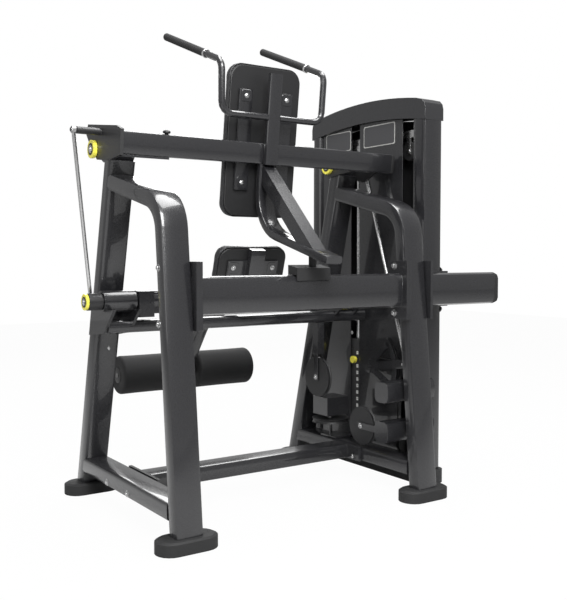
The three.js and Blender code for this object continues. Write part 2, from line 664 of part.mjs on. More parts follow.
const headBar = join(box([stackX - 16, stackX + 16],
  [nearColumnY + nearColumnDepth + seatGap, farColumnY - seatGap], headBarZ),
  ...headPulleyY.flatMap((y) => [...cheeks(stackX, [y - 12, y + 12], [headPulleyZ - 14, headBarZ[0] + 1]),
    pulleyAxle(stackX, y, headPulleyZ)]));
const idlerPlateY = [nearColumnY + nearColumnDepth - weldOverlap, nearColumnY + nearColumnDepth + 7];
const idlerAxle = join(box([idlerX - 15, towerMidX + 20], idlerPlateY, [idlerZ - 20, idlerZ + 20]),
  rodX(axleRadius, idlerPlateY[0] + 1, idlerY + 16, 0, 0, 14).rotateZ(Math.PI / 2).translate(idlerX, 0,
    idlerZ));
const hangerX = [15, 20];
const rodHeadY = [stackY - 2 * guideRodOffset, stackY + 2 * guideRodOffset];
const rodHead = cut(box([stackX - hangerX[1], stackX + hangerX[1]], rodHeadY, rodHeadZ),
  rodZ(cableRadius * 2, rodHeadZ[0] - cutOverrun, rodHeadZ[1] + cutOverrun, stackX, stackY));
addMesh(frame, 'guide_rods', join(headBar, rodHead, ...sides.map(([, side]) => box(
  [stackX + side * hangerX[0], stackX + side * hangerX[1]].sort((a, b) => a - b), rodHeadY,
  [rodHeadZ[1] - weldOverlap, headBarZ[0] + weldOverlap]))), silver);
addMesh(frame, 'tower_near_column', idlerAxle, charcoal);

// Guide pulleys behind the right leg
const guidePulley = { hanging: [395, 120, 425, 86], low: [475, -86, 238, 80], flat: [485, 150, 226, 82] };
addMesh(machine, 'hanging_pulley', pulleyBody(guidePulley.hanging[3], ...guidePulley.hanging.slice(0, 3)),
  black);
addMesh(machine, 'low_pulley', pulleyBody(guidePulley.low[3], ...guidePulley.low.slice(0, 3)), black);
addMesh(machine, 'flat_pulley', pulleyBody(guidePulley.flat[3], 0, 0, 0).rotateY(Math.PI / 2)
  .translate(...guidePulley.flat.slice(0, 3)), black);
const [hangX, hangY, hangZ, hangRadius] = guidePulley.hanging;
const hanger = join(box([hangX - 18, hangX + 18], [hangY - 18, hangY + 18],
  [hangZ + hangRadius + 12, crossRailZ[0] - seatGap]),
  ...cheeks(hangX, [hangY - 14, hangY + 14], [hangZ - 14, hangZ + hangRadius + 13]), pulleyAxle(hangX,
    hangY, hangZ));
const [lowX, lowY, lowZ] = guidePulley.low;
const lowArm = join(...cheeks(lowX, [stubY + stubDepth / 2 - weldOverlap, lowY + 16],
  [lowZ - 14, lowZ + 14]), pulleyAxle(lowX, lowY, lowZ));
const [flatX, flatY, flatZ] = guidePulley.flat;
const flatStand = join(box([flatX - 14, outerFaceX - 6], [flatY - 55, flatY + 55],
  [railTop + seatGap, railTop + 9]),
  rodZ(axleRadius, railTop + 5, flatZ + 26, flatX, flatY, 14),
  box([flatX - 58, flatX + 58], [flatY - 52, flatY + 52], [flatZ + 25, flatZ + 104]));
addMesh(frame, 'hanging_pulley_fork', hanger, charcoal);
addMesh(frame, 'tower_near_column', lowArm, charcoal);
addMesh(frame, 'flat_pulley_stand', flatStand, charcoal);

// Drive lever: the pull rod lifts its arm, its grooved quadrant pulls the cable
const leverY = 0;
const leverZ = 470;
const leverLine = leverY - idlerY;
const rodFootY = -215;
const rodFootZ = 500;
const leverPlateX = [leverX - 17, leverX - 8];
const footPinRadius = 5;
const footHoleRadius = 9.5;
const quadrantFrom = 130;
const quadrantTo = 215;
const quadrantSteps = 10;
const onLever = (radius, degrees) => [leverY + radius * Math.cos(THREE.MathUtils.degToRad(degrees)),
  leverZ + radius * Math.sin(THREE.MathUtils.degToRad(degrees))];
const sweepDegrees = Array.from({ length: quadrantSteps + 1 },
  (_, i) => quadrantFrom + (quadrantTo - quadrantFrom) * i / quadrantSteps);
const sector = (radius, inner, xFrom, xTo) => plateX([...sweepDegrees.map((a) => onLever(radius, a)),
  ...sweepDegrees.map((a) => onLever(inner, a)).reverse()], xFrom, xTo);
const grooveRadius = leverLine - cableRadius - cableRoom;
const hubRadius = 30;
const spoke = (degrees) => strutPlate(onLever(hubRadius / 2, degrees),
  onLever(grooveRadius - 14, degrees), 26);
function strutPlate([y1, z1], [y2, z2], width) {
  const along = plane(y2 - y1, z2 - z1).normalize();
  const across = plane(-along.y, along.x).multiplyScalar(width / 2);
  return plateX([[y1 - across.x, z1 - across.y], [y2 - across.x, z2 - across.y],
    [y2 + across.x, z2 + across.y], [y1 + across.x, z1 + across.y]], ...leverPlateX);
}
const rodArm = strutPlate([leverY, leverZ], [rodFootY - 18, rodFootZ + 3], 36);
const leverBody = join(rodX(hubRadius, leverX - 16, leverX + 16, leverY, leverZ), rodArm,
  spoke(quadrantFrom + 8),
  spoke(quadrantTo - 8), sector(grooveRadius, grooveRadius - 24, leverX - 9, leverX + 9),
  sector(grooveRadius + grooveDepth, grooveRadius - 22, leverX - 10, leverX - 5),
  sector(grooveRadius + grooveDepth, grooveRadius - 22, leverX + 5, leverX + 10));
const leverBore = rodX(axleRadius + 3 + runningGap, leverX - 30, leverX + 30, leverY, leverZ);
const footHole = rodX(footHoleRadius, leverPlateX[0] - cutOverrun, leverPlateX[1] + cutOverrun, rodFootY,
  rodFootZ);
addMesh(machine, 'drive_lever', cut(leverBody, leverBore, footHole), charcoal);
const leverBracket = join(box([towerInnerX - plateThickness, towerInnerX + weldOverlap],
  [nearColumnY + 10, leverY + 30],
  [leverZ - 32, leverZ + 32]), rodX(axleRadius + 3, leverX - 24, towerInnerX - 4, leverY, leverZ));
addMesh(frame, 'tower_near_column', leverBracket, charcoal);

// Cable from the stem, over the head pulleys, round the idler and up to the quadrant
function arc(centre, radius, fromDegrees, toDegrees, steps, map) {
  return Array.from({ length: steps + 1 }, (_, i) => {
    const angle = THREE.MathUtils.degToRad(fromDegrees + (toDegrees - fromDegrees) * i / steps);
    return map(centre[0] + radius * Math.cos(angle), centre[1] + radius * Math.sin(angle));
  });
}
const inStackPlane = (y, z) => new THREE.Vector3(stackX, y, z);
const inIdlerPlane = (x, z) => new THREE.Vector3(x, idlerY, z);
const inLeverPlane = (y, z) => new THREE.Vector3(leverX, y, z);
const cableRoute = [new THREE.Vector3(stackX, stackY, stemTopZ - 2),
  ...arc([headPulleyY[0], headPulleyZ], headPulleyRadius, 0, 90, 4, inStackPlane),
  ...arc([headPulleyY[1], headPulleyZ], headPulleyRadius, 90, 180, 4, inStackPlane),
  ...arc([idlerX, idlerZ], idlerRadius, 0, -180, 8, inIdlerPlane),
  ...arc([leverY, leverZ], leverLine, 180, 145, 4, inLeverPlane)];
function cableTube(route, radius, edgeCount) {
  const startsAlongX = Math.abs(route[1].x - route[0].x) > 0.9 * route[1].distanceTo(route[0]);
  let normal = new THREE.Vector3(startsAlongX ? 0 : 1, startsAlongX ? 1 : 0, 0);
  const rings = route.map((point, i) => {
    const before = route[Math.max(i - 1, 0)];
    const after = route[Math.min(i + 1, route.length - 1)];
    const tangent = after.clone().sub(before).normalize();
    normal = normal.clone().addScaledVector(tangent, -normal.dot(tangent)).normalize();
    const side = tangent.clone().cross(normal);
    return Array.from({ length: edgeCount }, (_, k) => {
      const angle = 2 * Math.PI * k / edgeCount;
      return point.clone().addScaledVector(normal, radius * Math.cos(angle)).addScaledVector(side,
        radius * Math.sin(angle));
    });
  });
  return loft(rings);
}
addMesh(frame, 'cable', cableTube(cableRoute, cableRadius, 8), black);

// Upper arm, drawn square in its own frame about the upper pivot
const crossbarMidY = crossbarFrontY + crossbarDepth / 2;
const crossbarMidZ = crossbarBottomZ + crossbarHeight / 2;
const crossbarRearY = crossbarFrontY + crossbarDepth;
const crossbarTopZ = crossbarBottomZ + crossbarHeight;
const endPlateRoom = 28;
const endPlateX = [-outerFaceX - endPlateRoom - plateThickness, -outerFaceX - endPlateRoom];
addMesh(upperArm, 'crossbar', barX(endPlateX[1] + seatGap, crossbarRightX, crossbarDepth, crossbarHeight, 9,
  crossbarMidY, crossbarMidZ), charcoal);
addMesh(upperArm, 'crossbar_cap', endCap(crossbarRightX + seatGap, crossbarCapLength, crossbarDepth,
  crossbarHeight, 9,
  crossbarMidY, crossbarMidZ), black);
const crankY = -53;
const crankZ = 62;
const endPlateOutline = [[70, 89], [-198, 85], [-234, 74], [-236, -14], [-118, -36], [-28, -36], [38, 8],
  [83, 51]];
const standoffEndX = -694;
addMesh(upperArm, 'left_end_plate', join(plateX(endPlateOutline, ...endPlateX),
  rodX(13, standoffEndX, endPlateX[0] + 1, crankY, crankZ, 16), rodX(7, standoffEndX - 22,
    standoffEndX + 1, crankY, crankZ, 14)), black);
const rodCrankY = -84;
const rodCrankZ = -35;
const rodCrankRoom = 9;
const rodCrankPlateX = [outerFaceX + rodCrankRoom, outerFaceX + rodCrankRoom + plateThickness];
const rodEyeRoom = 5.5;
const rodEyeWidth = 11;
const rodEyeX = [rodCrankPlateX[1] + rodEyeRoom, rodCrankPlateX[1] + rodEyeRoom + rodEyeWidth];
const rearGap = crossbarRearY + seatGap;
const shaftLug = 46;
const rodPlateOutline = [[rearGap, crossbarBottomZ + 6], [rearGap, crossbarTopZ - 10], [0, shaftLug],
  [shaftLug * 0.8, 20],
  [shaftLug * 0.8, -20], [0, -shaftLug], [rodCrankY, rodCrankZ - 22], [rodCrankY - 30, rodCrankZ - 6]];
addMesh(upperArm, 'right_pivot_crank', join(plateX(rodPlateOutline, ...rodCrankPlateX),
  rodX(7, rodCrankPlateX[1] - 1, rodEyeX[1] + 5, rodCrankY, rodCrankZ, 14)), black);
const innerPlateRoom = 2;
const innerPlateX = [innerFaceX - innerPlateRoom - plateThickness, innerFaceX - innerPlateRoom];
const innerPlateOutline = [[rearGap, crossbarBottomZ + 4], [rearGap, crossbarTopZ - 6], [0, 45], [36, 22],
  [36, -22], [0, -45]];
addMesh(upperArm, 'right_pivot_crank', rodX(upperShaftRadius, innerPlateX[1] - weldOverlap,
  rodCrankPlateX[0] + weldOverlap, 0, 0, 20), black);
addMesh(upperArm, 'right_pivot_crank', plateX(innerPlateOutline, ...innerPlateX), black);
const shaftCollar = 8;
addMesh(upperArm, 'left_end_plate', rodX(upperShaftRadius, endPlateX[1] - weldOverlap,
  -innerFaceX + shaftCollar, 0, 0, 20),
  black);

// Ring cap pressed on the end of a pivot, with a dished middle
function ringCap(radius, thickness, faceX, side, y, z) {
  const radiusShares = [0, 1, 1, 0.6, 0];
  const depthShares = [0, 0, 1, 1, 0.7];
  const profile = radiusShares.map((share, i) => new THREE.Vector2(share * radius,
    depthShares[i] * thickness));
  return new THREE.LatheGeometry(profile, 18).rotateZ(-side * Math.PI / 2).translate(faceX, y, z);
}
[['left', endPlateX[0]], ['right', innerPlateX[0]]].forEach(([name, faceX]) => addMesh(upperArm,
  `${name}_upper_ring_cap`,
  ringCap(ringCapRadius, ringCapThickness, faceX - seatGap, -1, 0, 0), yellow));
const cornerPlateThickness = 8;
const cornerPlate = [[endPlateX[1] + seatGap, crossbarFrontY], [-415, crossbarFrontY],
  [-415, crossbarRearY], [-467, -102],
  [endPlateX[1] + seatGap, -102]];
const cornerShape = new THREE.Shape(cornerPlate.map(([x, y]) => new THREE.Vector2(x, y)));
addMesh(upperArm, 'crossbar', new THREE.ExtrudeGeometry(cornerShape,
  { depth: cornerPlateThickness, bevelEnabled: false })
  .translate(0, 0, crossbarBottomZ - cornerPlateThickness + weldOverlap), charcoal);
const backPostY = [crossbarFrontY - seatGap - backPostDepth, crossbarFrontY - seatGap];
const backPostMidY = (backPostY[0] + backPostY[1]) / 2;
addMesh(upperArm, 'back_post', columnZ(backPostWidth, backPostDepth, 6, 0, backPostMidY, crossbarBottomZ,
  backPostTopZ), charcoal);
const padRailThickness = 11;
const padRailY = [crossbarRearY, crossbarRearY + padRailThickness];
for (const [, side] of sides) {
  addMesh(upperArm, 'crossbar', columnZ(padRailWidth, padRailThickness + weldOverlap, 4, side * padRailX,
    middle(padRailY) - weldOverlap / 2, padRailBottomZ, padRailTopZ), charcoal);
}
const backPad = cushion(backPadWidth, backPadHeight, backPadThickness,
  padCorner).rotateX(Math.PI / 2).rotateZ(Math.PI)
  .translate(0, padRailY[1] + seatGap, backPadBottomZ + backPadHeight / 2);
addMesh(upperArm, 'back_pad', backPad, padBlack);

// Handlebar, its collars and sleeve grips
const barFrontY = -235;
const barLowZ = 163;
const barCornerZ = 346;
const barCornerY = -225;
const barBendRadius = 42;
const slope = THREE.MathUtils.degToRad(gripSlopeDegrees);
const gripDirection = new THREE.Vector3(0, Math.cos(slope), Math.sin(slope));
const barLean = 5;
const alongGrip = (side, distance) => new THREE.Vector3(side * (barHalfWidth + 1), barCornerY, barCornerZ)
  .addScaledVector(gripDirection, distance);
const gripStart = 134;
const gripEnd = gripStart + gripLength;
function roundedRoute(corners, radius, steps) {
  const route = [corners[0]];
  for (let i = 1; i < corners.length - 1; i++) {
    const back = corners[i - 1].clone().sub(corners[i]).normalize();
    const on = corners[i + 1].clone().sub(corners[i]).normalize();
    const half = Math.acos(back.dot(on)) / 2;
    const reach = radius / Math.tan(half);
    const centre = corners[i].clone().addScaledVector(back.clone().add(on).normalize(),
      radius / Math.sin(half));
    const start = corners[i].clone().addScaledVector(back, reach).sub(centre);
    const axis = back.clone().negate().cross(on).normalize();
    for (let step = 0; step <= steps; step++) {
      route.push(start.clone().applyAxisAngle(axis, (Math.PI - 2 * half) * step / steps).add(centre));
    }
  }
  route.push(corners.at(-1));
  return route;
}
const barSide = (side) => roundedRoute([new THREE.Vector3(side * (backPostWidth / 2 - weldOverlap),
  barFrontY, barLowZ),
  new THREE.Vector3(side * (barHalfWidth - barLean), barFrontY, barLowZ),
  new THREE.Vector3(side * (barHalfWidth + 1), barCornerY, barCornerZ), alongGrip(side,
    gripEnd - 8)], barBendRadius, 4);
for (const [, side] of sides) {
  addMesh(upperArm, 'back_post', cableTube(barSide(side), barRadius, 12), charcoal);
}
function sleeve(outer, inner, length, closedEnd) {
  const end = closedEnd ? [[0, length - 5], [0, length], [outer - 3, length],
    [outer, length - 3]] : [[inner, length], [outer, length]];
  const start = closedEnd ? [[outer, 0], [inner, 0], [inner, length - 5], [0, length - 5]] : [[outer, 0],
    [inner, 0], [inner, length]];
  return new THREE.LatheGeometry([...end, ...start].reverse().map(([r, h]) => new THREE.Vector2(r, h)), 16);
}
const barClearance = barRadius + 2 * seatGap;
const turnToGrip = new THREE.Quaternion().setFromUnitVectors(new THREE.Vector3(0, 1, 0), gripDirection);
const onBar = (geometry, side, distance) => geometry.applyQuaternion(turnToGrip)
  .translate(...alongGrip(side, distance).toArray());
for (const [name, side] of sides) {
  addMesh(upperArm, `${name}_grip`, onBar(sleeve(gripRadius, barClearance, gripLength, true), side,
    gripStart), black);
}

// Curved arm, its diagonal brace and end cap
const armTop = plane(crossbarFrontY + curvedArmDepth / 2, crossbarBottomZ - seatGap);
const armCorner = plane(-212, -253);
const tailY = -667;
const tailZ = -319;
const tailEnd = plane(tailY, tailZ);
const armSection = roundedShape(curvedArmWidth, curvedArmDepth, 7);
addMesh(upperArm, 'curved_arm', sweep(bentPath([armTop, armCorner, tailEnd], curvedArmRadius, 8),
  armSection), charcoal);
const tailAlong = tailEnd.clone().sub(armCorner).normalize();
const capFrom = tailEnd.clone().addScaledVector(tailAlong, -weldOverlap);
const capShares = [[0, 1], [0.5, 1], [1, 0.7]];
const capLength = 12;
const capRings = capShares.map(([along, size]) => {
  const centre = capFrom.clone().addScaledVector(tailAlong, along * capLength);
  return armSection.map((p) => new THREE.Vector3(p.x * (0.85 + 0.15 * size),
    centre.x - tailAlong.y * p.y * size,
    centre.y + tailAlong.x * p.y * size));
});
addMesh(upperArm, 'curved_arm', loft(capRings), charcoal);
const tailSlope = (armCorner.y - tailEnd.y) / (armCorner.x - tailEnd.x);
const tailTopZ = (y) => armCorner.y + (y - armCorner.x) * tailSlope + curvedArmDepth / 2 * Math.hypot(1,
  tailSlope) - weldOverlap;
const armFrontY = crossbarFrontY - seatGap;
const braceOutline = [[armFrontY, crossbarBottomZ - seatGap], [-590, tailTopZ(-590)],
  [-477, tailTopZ(-477)],
  [crossbarFrontY + weldOverlap, -82], [crossbarFrontY + weldOverlap, crossbarBottomZ - seatGap]];
addMesh(upperArm, 'curved_arm', plateX(braceOutline, -backPostWidth / 2, backPostWidth / 2), charcoal);

// Lower arm about the lower pivot: torsion tube, crank, hip pad and shin rollers
const hubRoom = 30;
const hubLength = 52;
const hubX = [-outerFaceX - hubRoom - hubLength, -outerFaceX - hubRoom];
const crankReach = 50;
const crankHubRadius = 31;
const crankPlateX = [hubX[0] + plateThickness, hubX[0] + 2 * plateThickness];
const shaftEndX = -hubX[1] - seatGap;
addMesh(lowerArm, 'torsion_tube', join(rodX(torsionTubeRadius, -torsionTubeHalfLength,
  torsionTubeHalfLength, 0, 0, 20),
  rodX(lowerShaftRadius, -shaftEndX, shaftEndX, 0, 0, 20)), charcoal);
const crankOutline = [[0, crankHubRadius], [crankReach + 6, 13], [crankReach + 14, 6],
  [crankReach + 14, -8],
  [crankReach + 6, -15], [0, -crankHubRadius]];
addMesh(lowerArm, 'lower_crank', join(rodX(crankHubRadius, ...hubX, 0, 0, 20),
  plateX(crankOutline, ...crankPlateX)), black);
const lowerCapRadius = 30;
const lowerCapThickness = 10;
addMesh(lowerArm, 'lower_ring_cap', ringCap(lowerCapRadius, lowerCapThickness, hubX[0] - seatGap, -1, 0,
  0), yellow);
const clampLength = 60;
const clampX = [-torsionTubeHalfLength - 2, clampLength - torsionTubeHalfLength - 2];
const clampPlateX = -378;
const clampBlock = join(box(clampX, [-42, 42], [-60, 36]),
  box([clampX[1] - 1, clampPlateX], [-30, 50], [-48, 30]));
addMesh(lowerArm, 'torsion_tube', clampBlock, charcoal);
const seatTilt = THREE.MathUtils.degToRad(seatPadTiltDegrees);
const seatRearN = -41;
const seatTopV = 224;
const seatPlateThickness = 6;
const supportThickness = 28;
const supportWidth = 64;
const supportN = [seatRearN - seatPlateThickness - supportThickness - seatGap,
  seatRearN - seatPlateThickness - seatGap];
const seatPlateV = [100, 168];
const seatPlateHalf = 115;
const tubeClear = rodX(torsionTubeRadius + seatGap, -supportWidth, supportWidth, 0, 0, 20);
const supportBody = join(box([-supportWidth / 2, supportWidth / 2], supportN, [-34, seatTopV - 6]),
  box([-supportWidth / 2 + 4, supportWidth / 2 - 4], [supportN[1] - 1, -20], [-26, 26]),
  box([-seatPlateHalf, seatPlateHalf], [supportN[1] - 1, seatRearN - seatGap], seatPlateV));
addMesh(lowerArm, 'seat_support', cut(supportBody, tubeClear).rotateX(seatTilt), charcoal);
const seatPad = cushion(seatPadWidth, seatPadHeight, seatPadThickness,
  padCorner - 8).rotateX(Math.PI / 2).rotateZ(Math.PI)
  .translate(0, seatRearN, seatTopV - seatPadHeight / 2).rotateX(seatTilt);
addMesh(lowerArm, 'seat_pad', seatPad, padBlack);

const rollerArmWidth = 50;
const rollerArmDepth = 42;
const rollerAt = plane(rollerY - lowerPivotY, rollerZ - lowerPivotZ);
const rollerElbow = plane(318, -118);
const rollerElbowRadius = 150;
const rollerAxleRadius = 12;
const rollerArmBody = sweep(bentPath([plane(30, -6), rollerElbow, rollerAt], rollerElbowRadius, 6),
  roundedShape(rollerArmWidth, rollerArmDepth, 8));
const rollerAxle = rodX(rollerAxleRadius, -rollerInnerX - rollerLength - 4, rollerInnerX + rollerLength + 4,
  rollerAt.x, rollerAt.y, 20);
const rollerHub = rodX(30, 2 - rollerInnerX, rollerInnerX - 2, rollerAt.x, rollerAt.y, 24);
addMesh(lowerArm, 'torsion_tube', join(rollerArmBody, rollerAxle, rollerHub), charcoal);
const rollerEdge = 8;
for (const [name, side] of sides) {
  const half = rollerLength / 2;
  const bore = rollerAxleRadius + runningGap;
  const profile = [[bore, -half], [rollerRadius - rollerEdge, -half], [rollerRadius, rollerEdge - half],
    [rollerRadius, half - rollerEdge], [rollerRadius - rollerEdge, half], [bore, half], [bore, -half]];
  const roller = new THREE.LatheGeometry(profile.map(([r, h]) => new THREE.Vector2(r, h)),
    28).rotateZ(Math.PI / 2)
    .translate(side * (rollerInnerX + half), rollerAt.x, rollerAt.y);
  addMesh(lowerArm, `${name}_roller`, roller, black);
}

// Link rod at the left joins the arms; pull rod at the right works the drive lever
const lean = THREE.MathUtils.degToRad(restLeanDegrees);
const atRest = (y, z) => [upperPivotY + y * Math.cos(lean) - z * Math.sin(lean),
  upperPivotZ + y * Math.sin(lean) + z * Math.cos(lean)];
const linkTop = atRest(crankY, crankZ);
const linkFoot = [lowerPivotY + crankReach, lowerPivotZ];
const linkTopX = [-712, -699];
const linkFootX = [crankPlateX[1] + 2, crankPlateX[1] + 20];
const eyeRadius = 12.5;
const rodRadius = 7;
const eyeBore = (x, place) => rodX(rodRadius + runningGap, x[0] - cutOverrun, x[1] + cutOverrun, ...place,
  14);
addMesh(machine, 'link_rod', cut(join(rodX(eyeRadius, ...linkTopX, ...linkTop, 18),
  rodX(eyeRadius, ...linkFootX, ...linkFoot, 18),
  strut([middle(linkTopX), ...linkTop], [middle(linkFootX), ...linkFoot],
    rodRadius)), eyeBore(linkTopX, linkTop)), silver);
const pullTop = atRest(rodCrankY, rodCrankZ);
const pullFoot = [rodFootY, rodFootZ];
const pullRodRadius = 9;
addMesh(machine, 'pull_rod', cut(join(rodX(eyeRadius + 2, ...rodEyeX, ...pullTop, 18),
  rodX(eyeRadius + 2, ...rodEyeX, ...pullFoot, 18),
  rodX(footPinRadius, leverPlateX[0] - 3, rodEyeX[0] + weldOverlap, ...pullFoot, 14),
  strut([middle(rodEyeX), ...pullTop], [middle(rodEyeX), ...pullFoot],
    pullRodRadius)), eyeBore(rodEyeX, pullTop)), silver);

// The origin is the middle of the footprint on the floor
const bounds = new THREE.Box3().setFromObject(machine, true);
machine.position.set(-(bounds.min.x + bounds.max.x) / 2, -(bounds.min.y + bounds.max.y) / 2, -bounds.min.z);

export default machine;
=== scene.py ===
import json
import math

import bmesh
import bpy
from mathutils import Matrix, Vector


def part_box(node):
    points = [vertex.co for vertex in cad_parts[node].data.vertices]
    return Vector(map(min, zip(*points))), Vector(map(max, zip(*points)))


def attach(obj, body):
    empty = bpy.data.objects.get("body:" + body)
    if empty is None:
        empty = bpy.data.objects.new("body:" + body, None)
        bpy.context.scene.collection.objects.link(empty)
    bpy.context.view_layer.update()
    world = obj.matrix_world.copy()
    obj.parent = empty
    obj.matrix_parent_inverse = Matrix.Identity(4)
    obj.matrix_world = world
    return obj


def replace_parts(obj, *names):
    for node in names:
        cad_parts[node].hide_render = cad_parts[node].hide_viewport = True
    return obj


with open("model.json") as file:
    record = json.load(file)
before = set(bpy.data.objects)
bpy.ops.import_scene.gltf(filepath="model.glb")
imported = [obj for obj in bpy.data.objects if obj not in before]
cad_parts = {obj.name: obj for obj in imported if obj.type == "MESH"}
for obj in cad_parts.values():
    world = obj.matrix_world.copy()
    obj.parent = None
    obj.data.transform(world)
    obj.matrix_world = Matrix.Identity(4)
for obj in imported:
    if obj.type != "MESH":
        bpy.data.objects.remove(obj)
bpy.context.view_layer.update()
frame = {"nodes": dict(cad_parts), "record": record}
print("frame loaded:", len(frame["nodes"]), "nodes")


# Places: millimetres about the machine's midline become metres in the row frame
arms = {"upperY": 0.125, "upperZ": 1.328, "lowerY": 0.105, "lowerZ": 0.778,
        "leanDegrees": 7.0, "seatDegrees": 17.0, "originY": -0.08823656}
railLow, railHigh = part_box("base_cross_rail")
midlineX = (railLow.x + railHigh.x) / 2
originShift = Vector((midlineX, arms["originY"], 0.0))
bothSides = ((-1, "left"), (1, "right"))
leftward = Vector((-1, 0, 0))
rightward = Vector((1, 0, 0))


def at(x, y, z):
    return Vector((x, y, z)) / 1000 + originShift


def turned(x, y, z, degrees, pivotY, pivotZ):
    angle = math.radians(degrees)
    x, y, z = x / 1000, y / 1000, z / 1000
    flat = Vector((x, y * math.cos(angle) - z * math.sin(angle) + pivotY,
                   y * math.sin(angle) + z * math.cos(angle) + pivotZ))
    return flat + originShift


def onArm(x, y, z):
    return turned(x, y, z, arms["leanDegrees"], arms["upperY"], arms["upperZ"])


def onSeat(x, y, z):
    return turned(x, y, z, arms["seatDegrees"], arms["lowerY"], arms["lowerZ"])


def inMetres(rows):
    return [(along / 1000, out / 1000) for along, out in rows]


# Colours: a hex value as a paint chart gives it, changed to linear light
toLinear = {"toe": 0.04045, "toeSlope": 12.92, "offset": 0.055, "power": 2.4}


def linearLight(channel):
    if channel <= toLinear["toe"]:
        return channel / toLinear["toeSlope"]
    return ((channel + toLinear["offset"]) / (1 + toLinear["offset"])) ** toLinear["power"]


def paint(hexValue):
    channels = [int(hexValue[i:i + 2], 16) / 255 for i in (1, 3, 5)]
    return tuple(linearLight(channel) for channel in channels) + (1.0,)


def addNode(tree, kind, inputs=None, **settings):
    node = tree.nodes.new(kind)
    for name, value in settings.items():
        setattr(node, name, value)
    for key, value in (inputs or {}).items():
        if isinstance(value, bpy.types.NodeSocket):
            tree.links.new(value, node.inputs[key])
        else:
            node.inputs[key].default_value = value
    return node


def nodeOf(tree, kind):
    return next(node for node in tree.nodes if node.type == kind)


def emptyMaterial(name):
    material = bpy.data.materials.new(name)
    material.use_nodes = True
    material.node_tree.nodes.clear()
    return material


# Sockets of a mix node that mixes colours
mixSockets = {"from": 6, "to": 7, "mixed": 2}
look = {"fineDetail": 3.0, "broadScale": 5.0, "broadDetail": 2.0, "edgeFrom": 0.54, "edgeTo": 0.66,
        "roughSpread": 0.07, "smoothest": 0.03, "reliefShare": 0.15}


def surface(name, hexValue, roughness, speckle, speckleSize, bump,
            metallic=0.0, coat=0.0, paleEdge=0.0, paleEdgeHex="#8c8c8c"):
    material = emptyMaterial(name)
    tree = material.node_tree
    place = addNode(tree, "ShaderNodeTexCoord").outputs["Object"]
    fine = addNode(tree, "ShaderNodeTexNoise",
                   {"Vector": place, "Scale": 1 / speckleSize, "Detail": look["fineDetail"]})
    broad = addNode(tree, "ShaderNodeTexNoise",
                    {"Vector": place, "Scale": look["broadScale"], "Detail": look["broadDetail"]})
    lit = paint(hexValue)
    dark = tuple(c * (1 - speckle) for c in lit[:3]) + (1.0,)
    light = tuple(min(1.0, c * (1 + speckle)) for c in lit[:3]) + (1.0,)
    colour = addNode(tree, "ShaderNodeMix",
                     {"Factor": broad.outputs["Fac"], mixSockets["from"]: dark, mixSockets["to"]: light},
                     data_type="RGBA")
    shown = colour.outputs[mixSockets["mixed"]]
    if paleEdge > 0:
        # Paler paint where the surface turns sharply; on the frame this is a painted highlight along the tube
        # edges
        turn = addNode(tree, "ShaderNodeNewGeometry")
        edge = addNode(tree, "ShaderNodeMapRange",
                       {"Value": turn.outputs["Pointiness"], "From Min": look["edgeFrom"],
                        "From Max": look["edgeTo"], "To Max": paleEdge})
        edgePaled = addNode(tree, "ShaderNodeMix",
                       {"Factor": edge.outputs["Result"], mixSockets["from"]: shown,
                        mixSockets["to"]: paint(paleEdgeHex)}, data_type="RGBA")
        shown = edgePaled.outputs[mixSockets["mixed"]]
    rough = addNode(tree, "ShaderNodeMapRange",
                    {"Value": fine.outputs["Fac"],
                     "To Min": max(look["smoothest"], roughness - look["roughSpread"]),
                     "To Max": min(1.0, roughness + look["roughSpread"])})
    relief = addNode(tree, "ShaderNodeBump",
                     {"Height": fine.outputs["Fac"], "Strength": bump,
                      "Distance": speckleSize * look["reliefShare"]})
    shader = addNode(tree, "ShaderNodeBsdfPrincipled",
                     {"Base Color": shown, "Roughness": rough.outputs["Result"],
                      "Normal": relief.outputs["Normal"], "Metallic": metallic, "Coat Weight": coat})
    addNode(tree, "ShaderNodeOutputMaterial", {"Surface": shader.outputs["BSDF"]})
    return material


# Upholstery vinyl: pebbled grain about 1.5 mm across under a soft satin sheen
vinyl = {"roughness": 0.44, "speckle": 0.10, "speckleSize": 0.0022, "bump": 0.10,
         "pebbleScale": 620.0, "grainStrength": 0.35, "grainDepth": 0.0006, "sheen": 0.05}


def grainedVinyl(name, hexValue):
    material = surface(name, hexValue, vinyl["roughness"], vinyl["speckle"], vinyl["speckleSize"],
                       vinyl["bump"])
    tree = material.node_tree
    place = nodeOf(tree, "TEX_COORD").outputs["Object"]
    shader = nodeOf(tree, "BSDF_PRINCIPLED")
    under = nodeOf(tree, "BUMP").outputs["Normal"]
    pebble = addNode(tree, "ShaderNodeTexVoronoi",
                     {"Vector": place, "Scale": vinyl["pebbleScale"], "Randomness": 1.0},
                     feature="SMOOTH_F1")
    grain = addNode(tree, "ShaderNodeBump",
                    {"Height": pebble.outputs["Distance"], "Strength": vinyl["grainStrength"],
                     "Distance": vinyl["grainDepth"], "Normal": under}, invert=True)
    tree.links.new(grain.outputs["Normal"], shader.inputs["Normal"])
    shader.inputs["Sheen Weight"].default_value = vinyl["sheen"]
    return material


# Bright zinc or hard chrome: fine drawn lines stretched along the rod
brushed = {"speckle": 0.05, "speckleSize": 0.0015, "bump": 0.05}


def brushedMetal(name, hexValue, roughness, along):
    material = surface(name, hexValue, roughness, brushed["speckle"], brushed["speckleSize"],
                       brushed["bump"], metallic=1.0)
    tree = material.node_tree
    fine = nodeOf(tree, "TEX_NOISE")
    stretch = addNode(tree, "ShaderNodeMapping",
                      {"Vector": nodeOf(tree, "TEX_COORD").outputs["Object"], "Scale": along})
    tree.links.new(stretch.outputs["Vector"], fine.inputs["Vector"])
    return material


